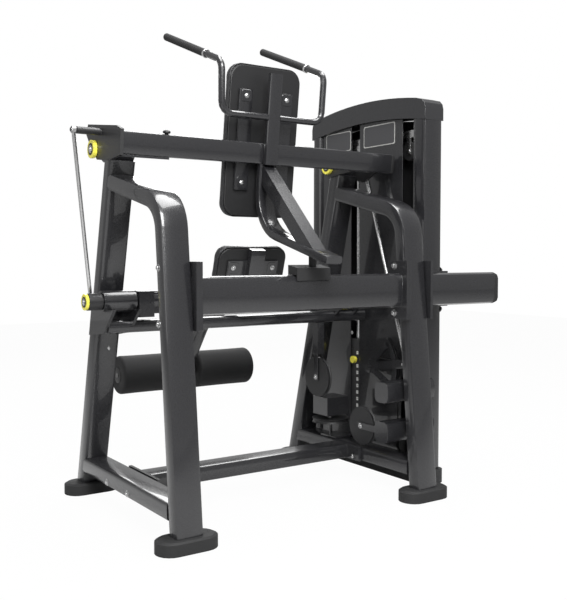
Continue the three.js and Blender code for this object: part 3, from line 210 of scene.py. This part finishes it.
finishes = {
    # Satin powder coat: faint orange peel and a soft highlight along each tube, with a painted highlight in
    # paler paint on the tube edges
    "charcoal_frame": surface("charcoal powder coat", "#1f1f21", roughness=0.28, speckle=0.06,
                              speckleSize=0.0016, bump=0.12, coat=0.6, paleEdge=0.2, paleEdgeHex="#4c4c4e"),
    # Moulded rubber: dull, with a slightly dusty tone
    "black_rubber": surface("moulded rubber", "#1a1a1b", roughness=0.72, speckle=0.12,
                            speckleSize=0.0030, bump=0.20),
    # Closed-cell foam: very fine open skin that scatters light
    "grip_foam": surface("closed-cell foam", "#161617", roughness=0.80, speckle=0.10,
                         speckleSize=0.0012, bump=0.35),
    "pad_vinyl": grainedVinyl("grained vinyl", "#1d1d1f"),
    # Gloss moulded plastic: bright yellow with a clean highlight
    "yellow_plastic": surface("gloss yellow plastic", "#e6dd52", roughness=0.26, speckle=0.03,
                              speckleSize=0.0040, bump=0.04, coat=0.3),
    "bright_steel": brushedMetal("bright steel", "#c9c9c9", roughness=0.26, along=(1.0, 1.0, 0.15)),
    # Nylon: matt black with a faint mould texture
    "black_plastic": surface("moulded nylon", "#19191a", roughness=0.48, speckle=0.08,
                             speckleSize=0.0014, bump=0.12),
    # Black powder coat: duller than the frame's, paler at its edges
    "black_steel": surface("black powder coat", "#1e1e1f", roughness=0.42, speckle=0.05,
                           speckleSize=0.0016, bump=0.16, coat=0.08, paleEdge=0.25, paleEdgeHex="#5a5a5a"),
    # Painted cast iron: broad uneven skin left by the casting sand
    "weight_iron": surface("painted cast iron", "#232324", roughness=0.58, speckle=0.10,
                           speckleSize=0.0045, bump=0.35, paleEdge=0.3, paleEdgeHex="#777777"),
    # Extruded nylon over wire: smooth with a slight gloss
    "cable_jacket": surface("nylon cable jacket", "#1a1a1b", roughness=0.38, speckle=0.05,
                            speckleSize=0.0030, bump=0.05, coat=0.2),
}
bareWhite = surface("printed white", "#d9d9d6", roughness=0.45, speckle=0.03, speckleSize=0.0030,
                    bump=0.02)
placardInk = surface("placard vinyl", "#3a3a3c", roughness=0.35, speckle=0.04, speckleSize=0.0030,
                     bump=0.03, coat=0.15)
placardRim = surface("placard border", "#9b9b98", roughness=0.40, speckle=0.03, speckleSize=0.0030,
                     bump=0.02)
print("materials made:", len(bpy.data.materials))


# The carried-over CAD nodes get small rounded edges and their finish
edgeRound = {"width": 0.0012, "segments": 2, "limitDegrees": 28.0, "weld": 0.00002}
slotOf = {part["node"]: part["material_slot"] for part in frame["record"]["subparts"]}


def shade(mesh, smooth):
    for polygon in mesh.polygons:
        polygon.use_smooth = smooth


def roundEdges(piece):
    shade(piece.data, True)
    weld = piece.modifiers.new("weld", "WELD")
    weld.merge_threshold = edgeRound["weld"]
    bevel = piece.modifiers.new("round", "BEVEL")
    bevel.width = edgeRound["width"]
    bevel.segments = edgeRound["segments"]
    bevel.limit_method = "ANGLE"
    bevel.angle_limit = math.radians(edgeRound["limitDegrees"])
    bevel.harden_normals = True


for nodeName, node in frame["nodes"].items():
    extra = node.data.attributes.get("custom_normal")
    if extra is not None:
        node.data.attributes.remove(extra)
    node.data.materials.clear()
    node.data.materials.append(finishes[slotOf[nodeName]])
    roundEdges(node)
print("frame nodes dressed")


# Mesh pieces are written straight into place; their objects stay at the origin
mergeDistance = 1e-6


def newObject(name, data):
    made = bpy.data.objects.new(name, data)
    bpy.context.scene.collection.objects.link(made)
    return made


def evaluated(holder):
    return holder.evaluated_get(bpy.context.evaluated_depsgraph_get())


def bakedMesh(holder):
    bpy.context.view_layer.update()
    return bpy.data.meshes.new_from_object(evaluated(holder))


def addPiece(name, mesh, body, slot, finish=None):
    piece = newObject(name, mesh)
    mesh.materials.clear()
    mesh.materials.append(finish or finishes[slot])
    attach(piece, body)
    return piece


# Loops of points skinned into one closed mesh; a bored one meets itself and needs no ends
def closedLoops(loops, name, bored=False):
    shape = bmesh.new()
    rows = [[shape.verts.new(point) for point in loop] for loop in loops]
    count = len(rows[0])
    for low, high in zip(rows, rows[1:]):
        for i in range(count):
            shape.faces.new((low[i], low[(i + 1) % count], high[(i + 1) % count], high[i]))
    if bored:
        bmesh.ops.remove_doubles(shape, verts=shape.verts, dist=mergeDistance)
    else:
        shape.faces.new(list(reversed(rows[0])))
        shape.faces.new(rows[-1])
    bmesh.ops.recalc_face_normals(shape, faces=shape.faces)
    mesh = bpy.data.meshes.new(name)
    shape.to_mesh(mesh)
    shape.free()
    shade(mesh, True)
    return mesh


def circle(centre, first, second, radius, sides):
    angles = [2 * math.pi * i / sides for i in range(sides)]
    return [centre + (first * math.cos(angle) + second * math.sin(angle)) * radius for angle in angles]


# A round piece turned about an axis: each row is how far along, then how far out
def turnedRound(name, start, axis, rows, sides, bored=False):
    axis = axis.normalized()
    first = axis.orthogonal().normalized()
    second = axis.cross(first)
    loops = [circle(start + axis * along, first, second, out, sides) for along, out in rows]
    return closedLoops(loops, name, bored)


def roundedOutline(width, height, corner, steps):
    points = []
    for cornerX, cornerY, start in ((1, 1, 0), (-1, 1, 90), (-1, -1, 180), (1, -1, 270)):
        for i in range(steps + 1):
            angle = math.radians(start + 90 * i / steps)
            points.append((cornerX * (width / 2 - corner) + corner * math.cos(angle),
                           cornerY * (height / 2 - corner) + corner * math.sin(angle)))
    return points


# Bolts: a washer, a hexagon and a domed end on every point, turned to the point's direction
boltShape = {"washerRadius": 1.35, "washerHeight": 0.25, "washerSides": 32, "domeRadius": 0.82,
             "domeHeight": 0.35, "domeSegments": 24, "domeRings": 10, "slot": "bright_steel"}


def boltTree(name):
    tree = bpy.data.node_groups.new(name, "GeometryNodeTree")
    face = tree.interface
    face.new_socket("Geometry", in_out="INPUT", socket_type="NodeSocketGeometry")
    face.new_socket("Head radius", in_out="INPUT", socket_type="NodeSocketFloat")
    face.new_socket("Head height", in_out="INPUT", socket_type="NodeSocketFloat")
    face.new_socket("Geometry", in_out="OUTPUT", socket_type="NodeSocketGeometry")
    given = addNode(tree, "NodeGroupInput")
    radius, height = given.outputs["Head radius"], given.outputs["Head height"]

    def times(socket, factor):
        return addNode(tree, "ShaderNodeMath", {0: socket, 1: factor}, operation="MULTIPLY").outputs[0]

    def raised(mesh, lift, scale=(1.0, 1.0, 1.0)):
        upward = addNode(tree, "ShaderNodeCombineXYZ", {"Z": lift}).outputs[0]
        moved = addNode(tree, "GeometryNodeTransform",
                        {"Geometry": mesh, "Translation": upward, "Scale": scale})
        return moved.outputs["Geometry"]

    washer = addNode(tree, "GeometryNodeMeshCylinder",
                     {"Vertices": boltShape["washerSides"],
                      "Radius": times(radius, boltShape["washerRadius"]),
                      "Depth": times(height, boltShape["washerHeight"])})
    head = addNode(tree, "GeometryNodeMeshCylinder", {"Vertices": 6, "Radius": radius, "Depth": height})
    dome = addNode(tree, "GeometryNodeMeshUVSphere",
                   {"Segments": boltShape["domeSegments"], "Rings": boltShape["domeRings"],
                    "Radius": times(radius, boltShape["domeRadius"])})
    headUp = raised(head.outputs["Mesh"], times(height, 0.5))
    domeUp = raised(dome.outputs["Mesh"], height, (1.0, 1.0, boltShape["domeHeight"]))
    whole = addNode(tree, "GeometryNodeJoinGeometry")
    for part in (washer.outputs["Mesh"], headUp, domeUp):
        tree.links.new(part, whole.inputs[0])
    direction = addNode(tree, "GeometryNodeInputNamedAttribute", {"Name": "direction"},
                        data_type="FLOAT_VECTOR")
    align = addNode(tree, "FunctionNodeAlignRotationToVector",
                    {"Vector": direction.outputs["Attribute"]}, axis="Z")
    placed = addNode(tree, "GeometryNodeInstanceOnPoints",
                     {"Points": given.outputs["Geometry"], "Instance": whole.outputs[0],
                      "Rotation": align.outputs[0]})
    real = addNode(tree, "GeometryNodeRealizeInstances", {"Geometry": placed.outputs["Instances"]})
    addNode(tree, "NodeGroupOutput", {"Geometry": real.outputs["Geometry"]})
    return tree


# Each point is a place and the way its head faces; the size is the head's radius and height
def addBolts(name, body, points, size):
    mesh = bpy.data.meshes.new(name + "_points")
    mesh.from_pydata([place for place, direction in points], [], [])
    turn = mesh.attributes.new("direction", "FLOAT_VECTOR", "POINT")
    turn.data.foreach_set("vector", [c for place, direction in points for c in direction])
    holder = newObject(name, mesh)
    modifier = holder.modifiers.new("bolts", "NODES")
    modifier.node_group = boltTree(name + "_tree")
    given = {"Head radius": size[0] / 1000, "Head height": size[1] / 1000}
    for item in modifier.node_group.interface.items_tree:
        if item.in_out == "INPUT" and item.name in given:
            modifier[item.identifier] = given[item.name]
    made = bakedMesh(holder)
    bpy.data.objects.remove(holder)
    made.name = name
    addPiece(name, made, body, boltShape["slot"])


frameBolts = {"outerX": 566, "flangeX": 442, "beamY": -315, "beamZ": (905, 722),
              "railY": (-51, 133), "railZ": 105, "plateThickness": 12,
              "columnX": 742, "columnY": -255, "columnZ": (885, 725), "postY": 103, "postZ": 608,
              "bolt": (9, 5), "nut": (10, 8), "screw": (6, 3)}
plateX = (railHigh.x - midlineX) * 1000 - frameBolts["plateThickness"]
beamPlaces = [(frameBolts["beamY"], z) for z in frameBolts["beamZ"]]
railPlaces = [(y, frameBolts["railZ"]) for y in frameBolts["railY"]]
heads = []
beamNuts = []
railNuts = []
screws = []
for side in (-1, 1):
    outward, inward = Vector((side, 0, 0)), Vector((-side, 0, 0))
    heads += [(at(side * frameBolts["outerX"], y, z), outward) for y, z in beamPlaces + railPlaces]
    beamNuts += [(at(side * frameBolts["flangeX"], y, z), inward) for y, z in beamPlaces]
    railNuts += [(at(side * plateX, y, z), inward) for y, z in railPlaces]
    screws.append((at(side * frameBolts["outerX"], frameBolts["postY"], frameBolts["postZ"]), outward))
columnNuts = [(at(frameBolts["columnX"], frameBolts["columnY"], z), rightward)
              for z in frameBolts["columnZ"]]
addBolts("leg_bolts", "root", heads, frameBolts["bolt"])
addBolts("flange_nuts", "root", beamNuts + columnNuts + railNuts, frameBolts["nut"])
addBolts("post_screws", "root", screws, frameBolts["screw"])
print("bolts placed")


# Cushions: a backing board, a cover blown up a little by cloth pressure, and piping round its edge
cushionWork = {"voxel": 5.0, "frames": 20, "cap": 3.5, "pinned": 9.0, "outlineSteps": 10,
               "smallestCorner": 8.0, "cornerRoom": 1, "softening": 0.5, "softenings": 10,
               "boardShare": 0.955, "boardSteps": 8,
               "pipingShare": 0.975, "pipingSteps": 12, "pipingAt": 7.6, "pipingRadius": 2.0,
               "pipingSides": 10, "fill": 0.9}
coverCloth = {"quality": 5, "mass": 0.4, "tension_stiffness": 25, "compression_stiffness": 25,
              "bending_stiffness": 2, "use_pressure": True, "uniform_pressure_force": 4.0}
# How far out each loop of the cover lies, and its share of the width
coverRows = {"back": ((7.2, 0.97), (10, 0.985)),
             "side": ((0.4, 1.0), (0.72, 1.0), (0.86, 0.975), (0.95, 0.93), (1.0, 0.86)),
             "crown": ((0.6, 0.6), (1.0, 0.2))}
boardRows = ((0.2, 0.985), (1.5, 1.0), (7.0, 1.0))


def padShape(name, place, size, crown):
    width, height, thickness, corner = size
    rows = list(coverRows["back"])
    rows += [(thickness * deep, share) for deep, share in coverRows["side"]]
    rows += [(thickness + crown * high, share) for high, share in coverRows["crown"]]
    loops = []
    for out, share in rows:
        inset = width * (1 - share)
        across, tall = width - inset, height - inset
        room = min(across, tall) / 2 - cushionWork["cornerRoom"]
        ring = roundedOutline(across, tall, max(cushionWork["smallestCorner"], min(corner, room)),
                              cushionWork["outlineSteps"])
        loops.append([place(u, v, out) for u, v in ring])
    return closedLoops(loops, name)


# A short cloth simulation with the back edge held; no vertex moves further than the cap
def coverBlownUp(holder, fine, place):
    base = place(0, 0, 0)
    outward = (place(0, 0, 1) - base).normalized()
    still = [v.index for v in fine.vertices if (v.co - base).dot(outward) * 1000 < cushionWork["pinned"]]
    held = holder.vertex_groups.new(name="held")
    held.add(still, 1.0, "REPLACE")
    rest = [vertex.co.copy() for vertex in fine.vertices]
    cloth = holder.modifiers.new("cover", "CLOTH")
    for name, value in coverCloth.items():
        setattr(cloth.settings, name, value)
    cloth.settings.vertex_group_mass = "held"
    cloth.settings.effector_weights.gravity = 0
    cloth.point_cache.frame_start = 1
    cloth.point_cache.frame_end = cushionWork["frames"]
    for step in range(1, cushionWork["frames"] + 1):
        bpy.context.scene.frame_set(step)
    limit = cushionWork["cap"] / 1000
    settled = []
    for before, vertex in zip(rest, evaluated(holder).data.vertices):
        step = vertex.co - before
        if step.length > limit:
            step = step * (limit / step.length)
        settled.append(before + step)
    holder.modifiers.clear()
    for vertex, where in zip(fine.vertices, settled):
        vertex.co = where
    bpy.context.scene.frame_set(1)


def blownUp(mesh, name, place):
    holder = newObject(name, mesh)
    remesh = holder.modifiers.new("even", "REMESH")
    remesh.mode = "VOXEL"
    remesh.voxel_size = cushionWork["voxel"] / 1000
    fine = bakedMesh(holder)
    holder.modifiers.clear()
    holder.data = fine
    coverBlownUp(holder, fine, place)
    bpy.data.objects.remove(holder)
    return fine


def closedTube(path, radius, name, sides):
    loops = []
    count = len(path)
    for i in range(count + 1):
        here, ahead, behind = path[i % count], path[(i + 1) % count], path[(i - 1) % count]
        along = (ahead - behind).normalized()
        flat = path[(i + count // 2) % count] - here
        first = (flat - along * flat.dot(along)).normalized()
        loops.append(circle(here, first, along.cross(first), radius, sides))
    return closedLoops(loops, name, bored=True)


# An outline set in evenly from the cushion's, by what the share takes off its width
def insetOutline(size, share, steps):
    width, height, thickness, corner = size
    return roundedOutline(width * share, height - width * (1 - share), corner, steps)


def addCushion(name, place, pad, body, node):
    size = pad["size"]
    cover = blownUp(padShape(name, place, size, pad["crown"]), name, place)
    shade(cover, True)
    piece = addPiece(name, cover, body, "pad_vinyl")
    smooth = piece.modifiers.new("soften", "SMOOTH")
    smooth.factor = cushionWork["softening"]
    smooth.iterations = cushionWork["softenings"]
    finer = piece.modifiers.new("finer", "SUBSURF")
    finer.levels = 1
    finer.render_levels = 1
    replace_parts(piece, node)
    ring = insetOutline(size, cushionWork["boardShare"], cushionWork["boardSteps"])
    loops = [[place(u * share, v * share, out) for u, v in ring] for out, share in boardRows]
    backing = addPiece(name + "_board", closedLoops(loops, name + "_board"), body, "black_plastic")
    shade(backing.data, False)
    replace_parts(backing, node)
    # Piping where the cover is drawn over the board's edge
    edge = insetOutline(size, cushionWork["pipingShare"], cushionWork["pipingSteps"])
    path = [place(u, v, cushionWork["pipingAt"]) for u, v in edge]
    piping = closedTube(path, cushionWork["pipingRadius"] / 1000, name + "_piping",
                        cushionWork["pipingSides"])
    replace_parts(addPiece(name + "_piping", piping, body, "pad_vinyl"), node)


backPad = {"size": (322, 576, 44, 52), "crown": 7, "rear": -170.7, "middle": 70}
hipPad = {"size": (317, 162, 47, 44), "crown": 6, "rear": -41, "middle": 140}
addCushion("back_cushion", lambda u, v, w: onArm(u, backPad["rear"] + w, backPad["middle"] + v),
           backPad, "upper_arm", "back_pad")
addCushion("hip_cushion", lambda u, v, w: onSeat(u, hipPad["rear"] + w, hipPad["middle"] + v),
           hipPad, "lower_arm", "seat_pad")
print("cushions made")


# Shin rollers: closed-cell foam sleeves with rounded ends, and moulded end washers
roller = {"radius": 82.5, "innerX": 42, "length": 280, "y": 605, "z": 430, "bore": 12.6, "edge": 13,
          "edgeStep": 15, "waist": 1.0, "waistAt": (0.2, 0.35, 0.5, 0.65, 0.8), "sides": 72,
          "washer": 34, "washerBore": 14, "washerRows": ((-0.5, 0), (1.2, 0), (2.2, -2)),
          "washerSides": 48, "fill": 0.9}


def foamRows():
    out, long, edge, bore = roller["radius"], roller["length"], roller["edge"], roller["bore"]
    rows = [(0, bore), (0, out - edge)]
    for degrees in range(roller["edgeStep"], 91, roller["edgeStep"]):
        angle = math.radians(degrees)
        rows.append((edge * (1 - math.cos(angle)), out - edge + edge * math.sin(angle)))
    for share in roller["waistAt"]:
        rows.append((long * share, out - roller["waist"] * math.sin(math.pi * share)))
    for degrees in range(0, 91, roller["edgeStep"]):
        angle = math.radians(degrees)
        rows.append((long - edge * (1 - math.sin(angle)), out - edge + edge * math.cos(angle)))
    return rows + [(long, bore), (long * 0.5, bore), (0, bore)]


def washerRows():
    rim = [(roller["length"] + along, roller["washer"] + out) for along, out in roller["washerRows"]]
    return [(rim[0][0], roller["washerBore"])] + rim + [(rim[-1][0], roller["washerBore"])]


for side, label in bothSides:
    name = label + "_roller"
    start = at(side * roller["innerX"], roller["y"], roller["z"])
    axis = Vector((side, 0, 0))
    mesh = turnedRound(name + "_foam", start, axis, inMetres(foamRows()), roller["sides"], bored=True)
    foam = addPiece(name + "_foam", mesh, name, "grip_foam")
    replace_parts(foam, name)
    mesh = turnedRound(name + "_washer", start, axis, inMetres(washerRows()), roller["washerSides"])
    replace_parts(addPiece(name + "_washer", mesh, name, "black_plastic"), name)


# Flat plates: straight sides, then a small bevel at the face
plateBevel = {"from": 0.7, "share": 0.95}


def addPlate(name, place, outline, thickness, body, slot, finish=None):
    rows = ((0, 1.0), (thickness * plateBevel["from"], 1.0), (thickness, plateBevel["share"]))
    loops = [[place(u * share, v * share, out) for u, v in outline] for out, share in rows]
    mesh = closedLoops(loops, name)
    addPiece(name, mesh, body, slot, finish)
    shade(mesh, False)


# Bolted plates behind the back pad, where its two rails hold it
padBolt = {"x": 90, "railY": -182, "levels": (("top", 238), ("bottom", -84)), "plate": 44, "corner": 8,
           "cornerSteps": 4, "thickness": 3, "plateLift": 0.1, "boltLift": 0.2, "bolt": (7, 4)}
plateOutline = roundedOutline(padBolt["plate"], padBolt["plate"], padBolt["corner"], padBolt["cornerSteps"])
boltY = padBolt["railY"] - padBolt["thickness"] - padBolt["boltLift"]
backward = (onArm(0, -1, 0) - onArm(0, 0, 0)).normalized()
points = []
for side, label in bothSides:
    for level, z in padBolt["levels"]:
        x = side * padBolt["x"]
        addPlate(f"pad_plate_{label}_{level}",
                 lambda u, v, w, x=x, z=z: onArm(x + u, padBolt["railY"] - padBolt["plateLift"] - w, z + v),
                 plateOutline, padBolt["thickness"], "upper_arm", "charcoal_frame")
        points.append((onArm(x, boltY, z), backward))
addBolts("pad_bolts", "upper_arm", points, padBolt["bolt"])

# Silver collars on the handlebar, at the inner end of each grip
collar = {"x": 228, "cornerY": -225, "cornerZ": 346, "slopeDegrees": 14.7, "from": 121, "ahead": 200,
          "length": 11, "radius": 16.5, "bore": 12.8, "bevel": 1, "sides": 40}


def alongBar(side, distance):
    slope = math.radians(collar["slopeDegrees"])
    return onArm(side * collar["x"], collar["cornerY"] + distance * math.cos(slope),
                 collar["cornerZ"] + distance * math.sin(slope))


def collarRows():
    long, out, bore, bevel = collar["length"], collar["radius"], collar["bore"], collar["bevel"]
    return [(0, bore), (0, out - bevel), (bevel, out), (long - bevel, out), (long, out - bevel),
            (long, bore), ((long - bevel) / 2, bore), (0, bore)]


for side, label in bothSides:
    start = alongBar(side, collar["from"])
    axis = alongBar(side, collar["ahead"]) - start
    mesh = turnedRound(label + "_collar", start, axis, inMetres(collarRows()), collar["sides"], bored=True)
    addPiece(label + "_collar", mesh, "upper_arm", "bright_steel")

# A round knob on the crossbar
knob = {"x": -420, "y": -202, "z": 68.2, "sides": 32,
        "rows": ((0, 7), (3, 7), (4, 12), (7, 14), (10, 14), (13, 11.5), (15, 6), (15.5, 1))}
foot = onArm(knob["x"], knob["y"], knob["z"])
upward = onArm(knob["x"], knob["y"], knob["z"] + 1) - foot
mesh = turnedRound("crossbar_knob", foot, upward, inMetres(knob["rows"]), knob["sides"])
addPiece("crossbar_knob", mesh, "upper_arm", "black_plastic")

# Ring caps: a dark inner ring and a silver screw on each yellow cap
ringFace = {"dark": 0.66, "screw": 0.34, "screwHeight": 2.0, "screwLift": 0.0013, "sides": 40,
            "rows": ((0.0001, 1.0), (0.0008, 1.0), (0.0011, 0.94), (0.0011, 0.3))}
for label, body in (("left_upper", "upper_arm"), ("right_upper", "upper_arm"), ("lower", "lower_arm")):
    low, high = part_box(label + "_ring_cap")
    radius = (high.z - low.z) / 2
    centre = Vector((low.x, (low.y + high.y) / 2, (low.z + high.z) / 2))
    dark = radius * ringFace["dark"]
    rows = [(along, dark * share) for along, share in ringFace["rows"]]
    mesh = turnedRound(label + "_ring_disc", centre, leftward, rows, ringFace["sides"])
    addPiece(label + "_ring_disc", mesh, body, "black_plastic")
    addBolts(label + "_ring_screw", body, [(centre + leftward * ringFace["screwLift"], leftward)],
             (radius * 1000 * ringFace["screw"], ringFace["screwHeight"]))

# Axle screws of the two upright guide pulleys, and a collar on the flat one
pulleyScrews = {"places": ((395, 120, 425), (475, -86, 238)), "cheekOut": 14.5, "lift": 0.1,
                "screw": (8, 4), "topLift": 0.0006, "collar": (11, 4)}
cheekOut = pulleyScrews["cheekOut"] + pulleyScrews["lift"]
points = [(at(x - cheekOut, y, z), leftward) for x, y, z in pulleyScrews["places"]]
addBolts("pulley_axle_screws", "root", points, pulleyScrews["screw"])
low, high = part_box("flat_pulley")
flatTop = Vector(((low.x + high.x) / 2, (low.y + high.y) / 2, high.z + pulleyScrews["topLift"]))
addBolts("flat_pulley_collar", "flat_pulley", [(flatTop, Vector((0, 0, 1)))], pulleyScrews["collar"])

# Nuts at both ends of the link rod and on the crank pin
linkNuts = {"topIn": 0.0076, "topY": -53, "topZ": 62, "footY": 155, "footZ": 778, "crankX": -636.2,
            "topNut": (8, 5), "footNut": (8, 4), "crankNut": (8, 6)}
topPin = onArm(0, linkNuts["topY"], linkNuts["topZ"])
topPin.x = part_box("left_end_plate")[0].x + linkNuts["topIn"]
footPin = at(0, linkNuts["footY"], linkNuts["footZ"])
footPin.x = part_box("link_rod")[1].x
crankPin = at(linkNuts["crankX"], linkNuts["footY"], linkNuts["footZ"])
addBolts("link_top_nut", "upper_arm", [(topPin, leftward)], linkNuts["topNut"])
addBolts("link_foot_nut", "link_rod", [(footPin, rightward)], linkNuts["footNut"])
addBolts("crank_pin_nut", "lower_arm", [(crankPin, leftward)], linkNuts["crankNut"])

# Bolted plates behind the hip pad
hipBolt = {"x": 90, "rear": -47.2, "level": 140, "plate": 45, "corner": 8, "cornerSteps": 4,
           "thickness": 3, "boltLift": 0.2, "bolt": (7, 4)}
plateOutline = roundedOutline(hipBolt["plate"], hipBolt["plate"], hipBolt["corner"], hipBolt["cornerSteps"])
boltY = hipBolt["rear"] - hipBolt["thickness"] - hipBolt["boltLift"]
backward = (onSeat(0, -1, 0) - onSeat(0, 0, 0)).normalized()
points = []
for side, label in bothSides:
    x = side * hipBolt["x"]
    addPlate(f"hip_plate_{label}",
             lambda u, v, w, x=x: onSeat(x + u, hipBolt["rear"] - w, hipBolt["level"] + v),
             plateOutline, hipBolt["thickness"], "lower_arm", "charcoal_frame")
    points.append((onSeat(x, boltY, hipBolt["level"]), backward))
addBolts("hip_bolts", "lower_arm", points, hipBolt["bolt"])
print("rollers and hardware made")


# Tower: bare placards with a thin border on the near and far panels
placards = {"near": {"node": "tower_near_panel", "y": (-72, 136), "z": (1421, 1515)},
            "far": {"node": "tower_far_panel", "y": (228, 412), "z": (1423, 1512)}}
placardLayers = (("border", 1.0, 0.1, placardRim), ("face", 0.955, 0.5, placardInk))
placardPlate = {"corner": 9, "cornerSteps": 5, "thickness": 0.5}
for label, card in placards.items():
    panelX = (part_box(card["node"])[0].x - midlineX) * 1000
    width, height = card["y"][1] - card["y"][0], card["z"][1] - card["z"][0]
    middleY, middleZ = sum(card["y"]) / 2, sum(card["z"]) / 2
    for suffix, share, lift, finish in placardLayers:
        outline = roundedOutline(width * share, height - width * (1 - share), placardPlate["corner"],
                                 placardPlate["cornerSteps"])
        addPlate(f"{label}_placard_{suffix}",
                 lambda u, v, w, x=panelX - lift, y=middleY, z=middleZ: at(x - w, y + u, z + v),
                 outline, placardPlate["thickness"], "root", "black_plastic", finish)

# Plain numbers on the weights rise by ten from the top plate down; the pin's plate has none
numbers = {"faceX": 662.6, "y": 184, "from": 220, "pitch": 30, "count": 10, "lifted": 2, "pinned": 8,
           "step": 10, "size": 0.0075, "extrude": 0.0001, "numberLift": 0.75, "label": (13, 15),
           "corner": 2, "cornerSteps": 3, "labelLift": 0.1, "thickness": 0.5}


def addNumber(value, z, body):
    letters = bpy.data.curves.new("number", "FONT")
    letters.body = str(value)
    letters.size = numbers["size"]
    letters.align_x = "CENTER"
    letters.align_y = "CENTER"
    letters.extrude = numbers["extrude"]
    holder = newObject("number", letters)
    mesh = bakedMesh(holder)
    bpy.data.objects.remove(holder)
    centre = at(numbers["faceX"] - numbers["numberLift"], numbers["y"], z)
    for vertex in mesh.vertices:
        vertex.co = centre + Vector((-vertex.co.z, -vertex.co.x, vertex.co.y))
    addPiece(f"weight_number_{value}", mesh, body, "black_plastic", placardInk)


labelX = numbers["faceX"] - numbers["labelLift"]
labelOutline = roundedOutline(*numbers["label"], numbers["corner"], numbers["cornerSteps"])
for row in range(numbers["count"]):
    if row == numbers["pinned"]:
        continue
    z = numbers["from"] + (row + 0.5) * numbers["pitch"]
    body = "lifted_stack" if row >= numbers["count"] - numbers["lifted"] else "root"
    value = numbers["step"] * (numbers["count"] - row)
    addPlate(f"weight_label_{value}", lambda u, v, w, z=z: at(labelX - w, numbers["y"] + u, z + v),
             labelOutline, numbers["thickness"], body, "black_plastic", bareWhite)
    addNumber(value, z, body)
print("tower details made")


# Stage: a pale floor that keeps only a faint contact shade, white all round
stageLook = {"half": 9.0, "z": -0.0005, "shade": 0.03, "floorGrey": 0.5, "worldLight": 0.42}
white = (1.0, 1.0, 1.0, 1.0)


def stageMaterial(name):
    material = emptyMaterial(name)
    tree = material.node_tree
    path = addNode(tree, "ShaderNodeLightPath")
    grey = (stageLook["floorGrey"],) * 3 + (1.0,)
    lit = addNode(tree, "ShaderNodeBsdfDiffuse", {"Color": grey})
    glow = addNode(tree, "ShaderNodeEmission", {"Color": white, "Strength": 1.0})
    seen = addNode(tree, "ShaderNodeMixShader",
                   {0: 1 - stageLook["shade"], 1: lit.outputs[0], 2: glow.outputs[0]})
    whole = addNode(tree, "ShaderNodeMixShader",
                    {0: path.outputs["Is Camera Ray"], 1: lit.outputs[0], 2: seen.outputs[0]})
    addNode(tree, "ShaderNodeOutputMaterial", {"Surface": whole.outputs[0]})
    return material


half = stageLook["half"]
floorMesh = bpy.data.meshes.new("studio_floor")
corners = ((-half, -half), (half, -half), (half, half), (-half, half))
floorMesh.from_pydata([(x, y, stageLook["z"]) for x, y in corners], [], [(0, 1, 2, 3)])
floorMesh.materials.append(stageMaterial("studio floor"))
newObject("studio_floor", floorMesh)

world = bpy.data.worlds.new("studio")
bpy.context.scene.world = world
world.use_nodes = True
sky = world.node_tree
sky.nodes.clear()
path = addNode(sky, "ShaderNodeLightPath")
strength = addNode(sky, "ShaderNodeMapRange",
                   {"Value": path.outputs["Is Camera Ray"], "To Min": stageLook["worldLight"], "To Max": 1.0})
glow = addNode(sky, "ShaderNodeBackground", {"Color": white, "Strength": strength.outputs["Result"]})
addNode(sky, "ShaderNodeOutputWorld", {"Surface": glow.outputs[0]})

# Soft boxes: where each one stands, what it points at, its size and its power
lights = {
    "key": {"place": (-1.5, -3.2, 3.2), "target": (-0.1, 0.0, 0.9), "size": (1.8, 2.2), "power": 250},
    "side": {"place": (-3.6, 0.6, 1.8), "target": (-0.1, 0.0, 0.9), "size": (0.9, 2.6), "power": 15},
    "top": {"place": (0.3, -0.4, 4.2), "target": (0.0, 0.0, 0.8), "size": (2.6, 2.0), "power": 160},
    "rear": {"place": (1.4, 3.4, 2.8), "target": (-0.1, 0.0, 0.9), "size": (2.4, 2.0), "power": 80},
}
for name, light in lights.items():
    lamp = bpy.data.lights.new(name, "AREA")
    lamp.shape = "RECTANGLE"
    lamp.size, lamp.size_y = light["size"]
    lamp.energy = light["power"]
    holder = newObject(name, lamp)
    holder.location = light["place"]
    aim = Vector(light["target"]) - Vector(light["place"])
    holder.rotation_euler = aim.to_track_quat("-Z", "Y").to_euler()

# Camera as it was worked out from the photograph, eye height a little under a metre
shot = {"place": (-1752, -2800, 940), "tiltDegrees": 87.354, "turnDegrees": -33.95, "sensor": 36.0,
        "lens": 53.59, "shiftY": -4 / 567, "pixels": (567, 600)}
camera = newObject("camera", bpy.data.cameras.new("camera"))
camera.location = at(*shot["place"])
camera.rotation_euler = (math.radians(shot["tiltDegrees"]), 0.0, math.radians(shot["turnDegrees"]))
camera.data.sensor_fit = "HORIZONTAL"
camera.data.sensor_width = shot["sensor"]
camera.data.lens = shot["lens"]
camera.data.shift_y = shot["shiftY"]
scene = bpy.context.scene
scene.camera = camera
scene.render.resolution_x, scene.render.resolution_y = shot["pixels"]
scene.view_settings.view_transform = "Standard"
print("stage, lights and camera set")
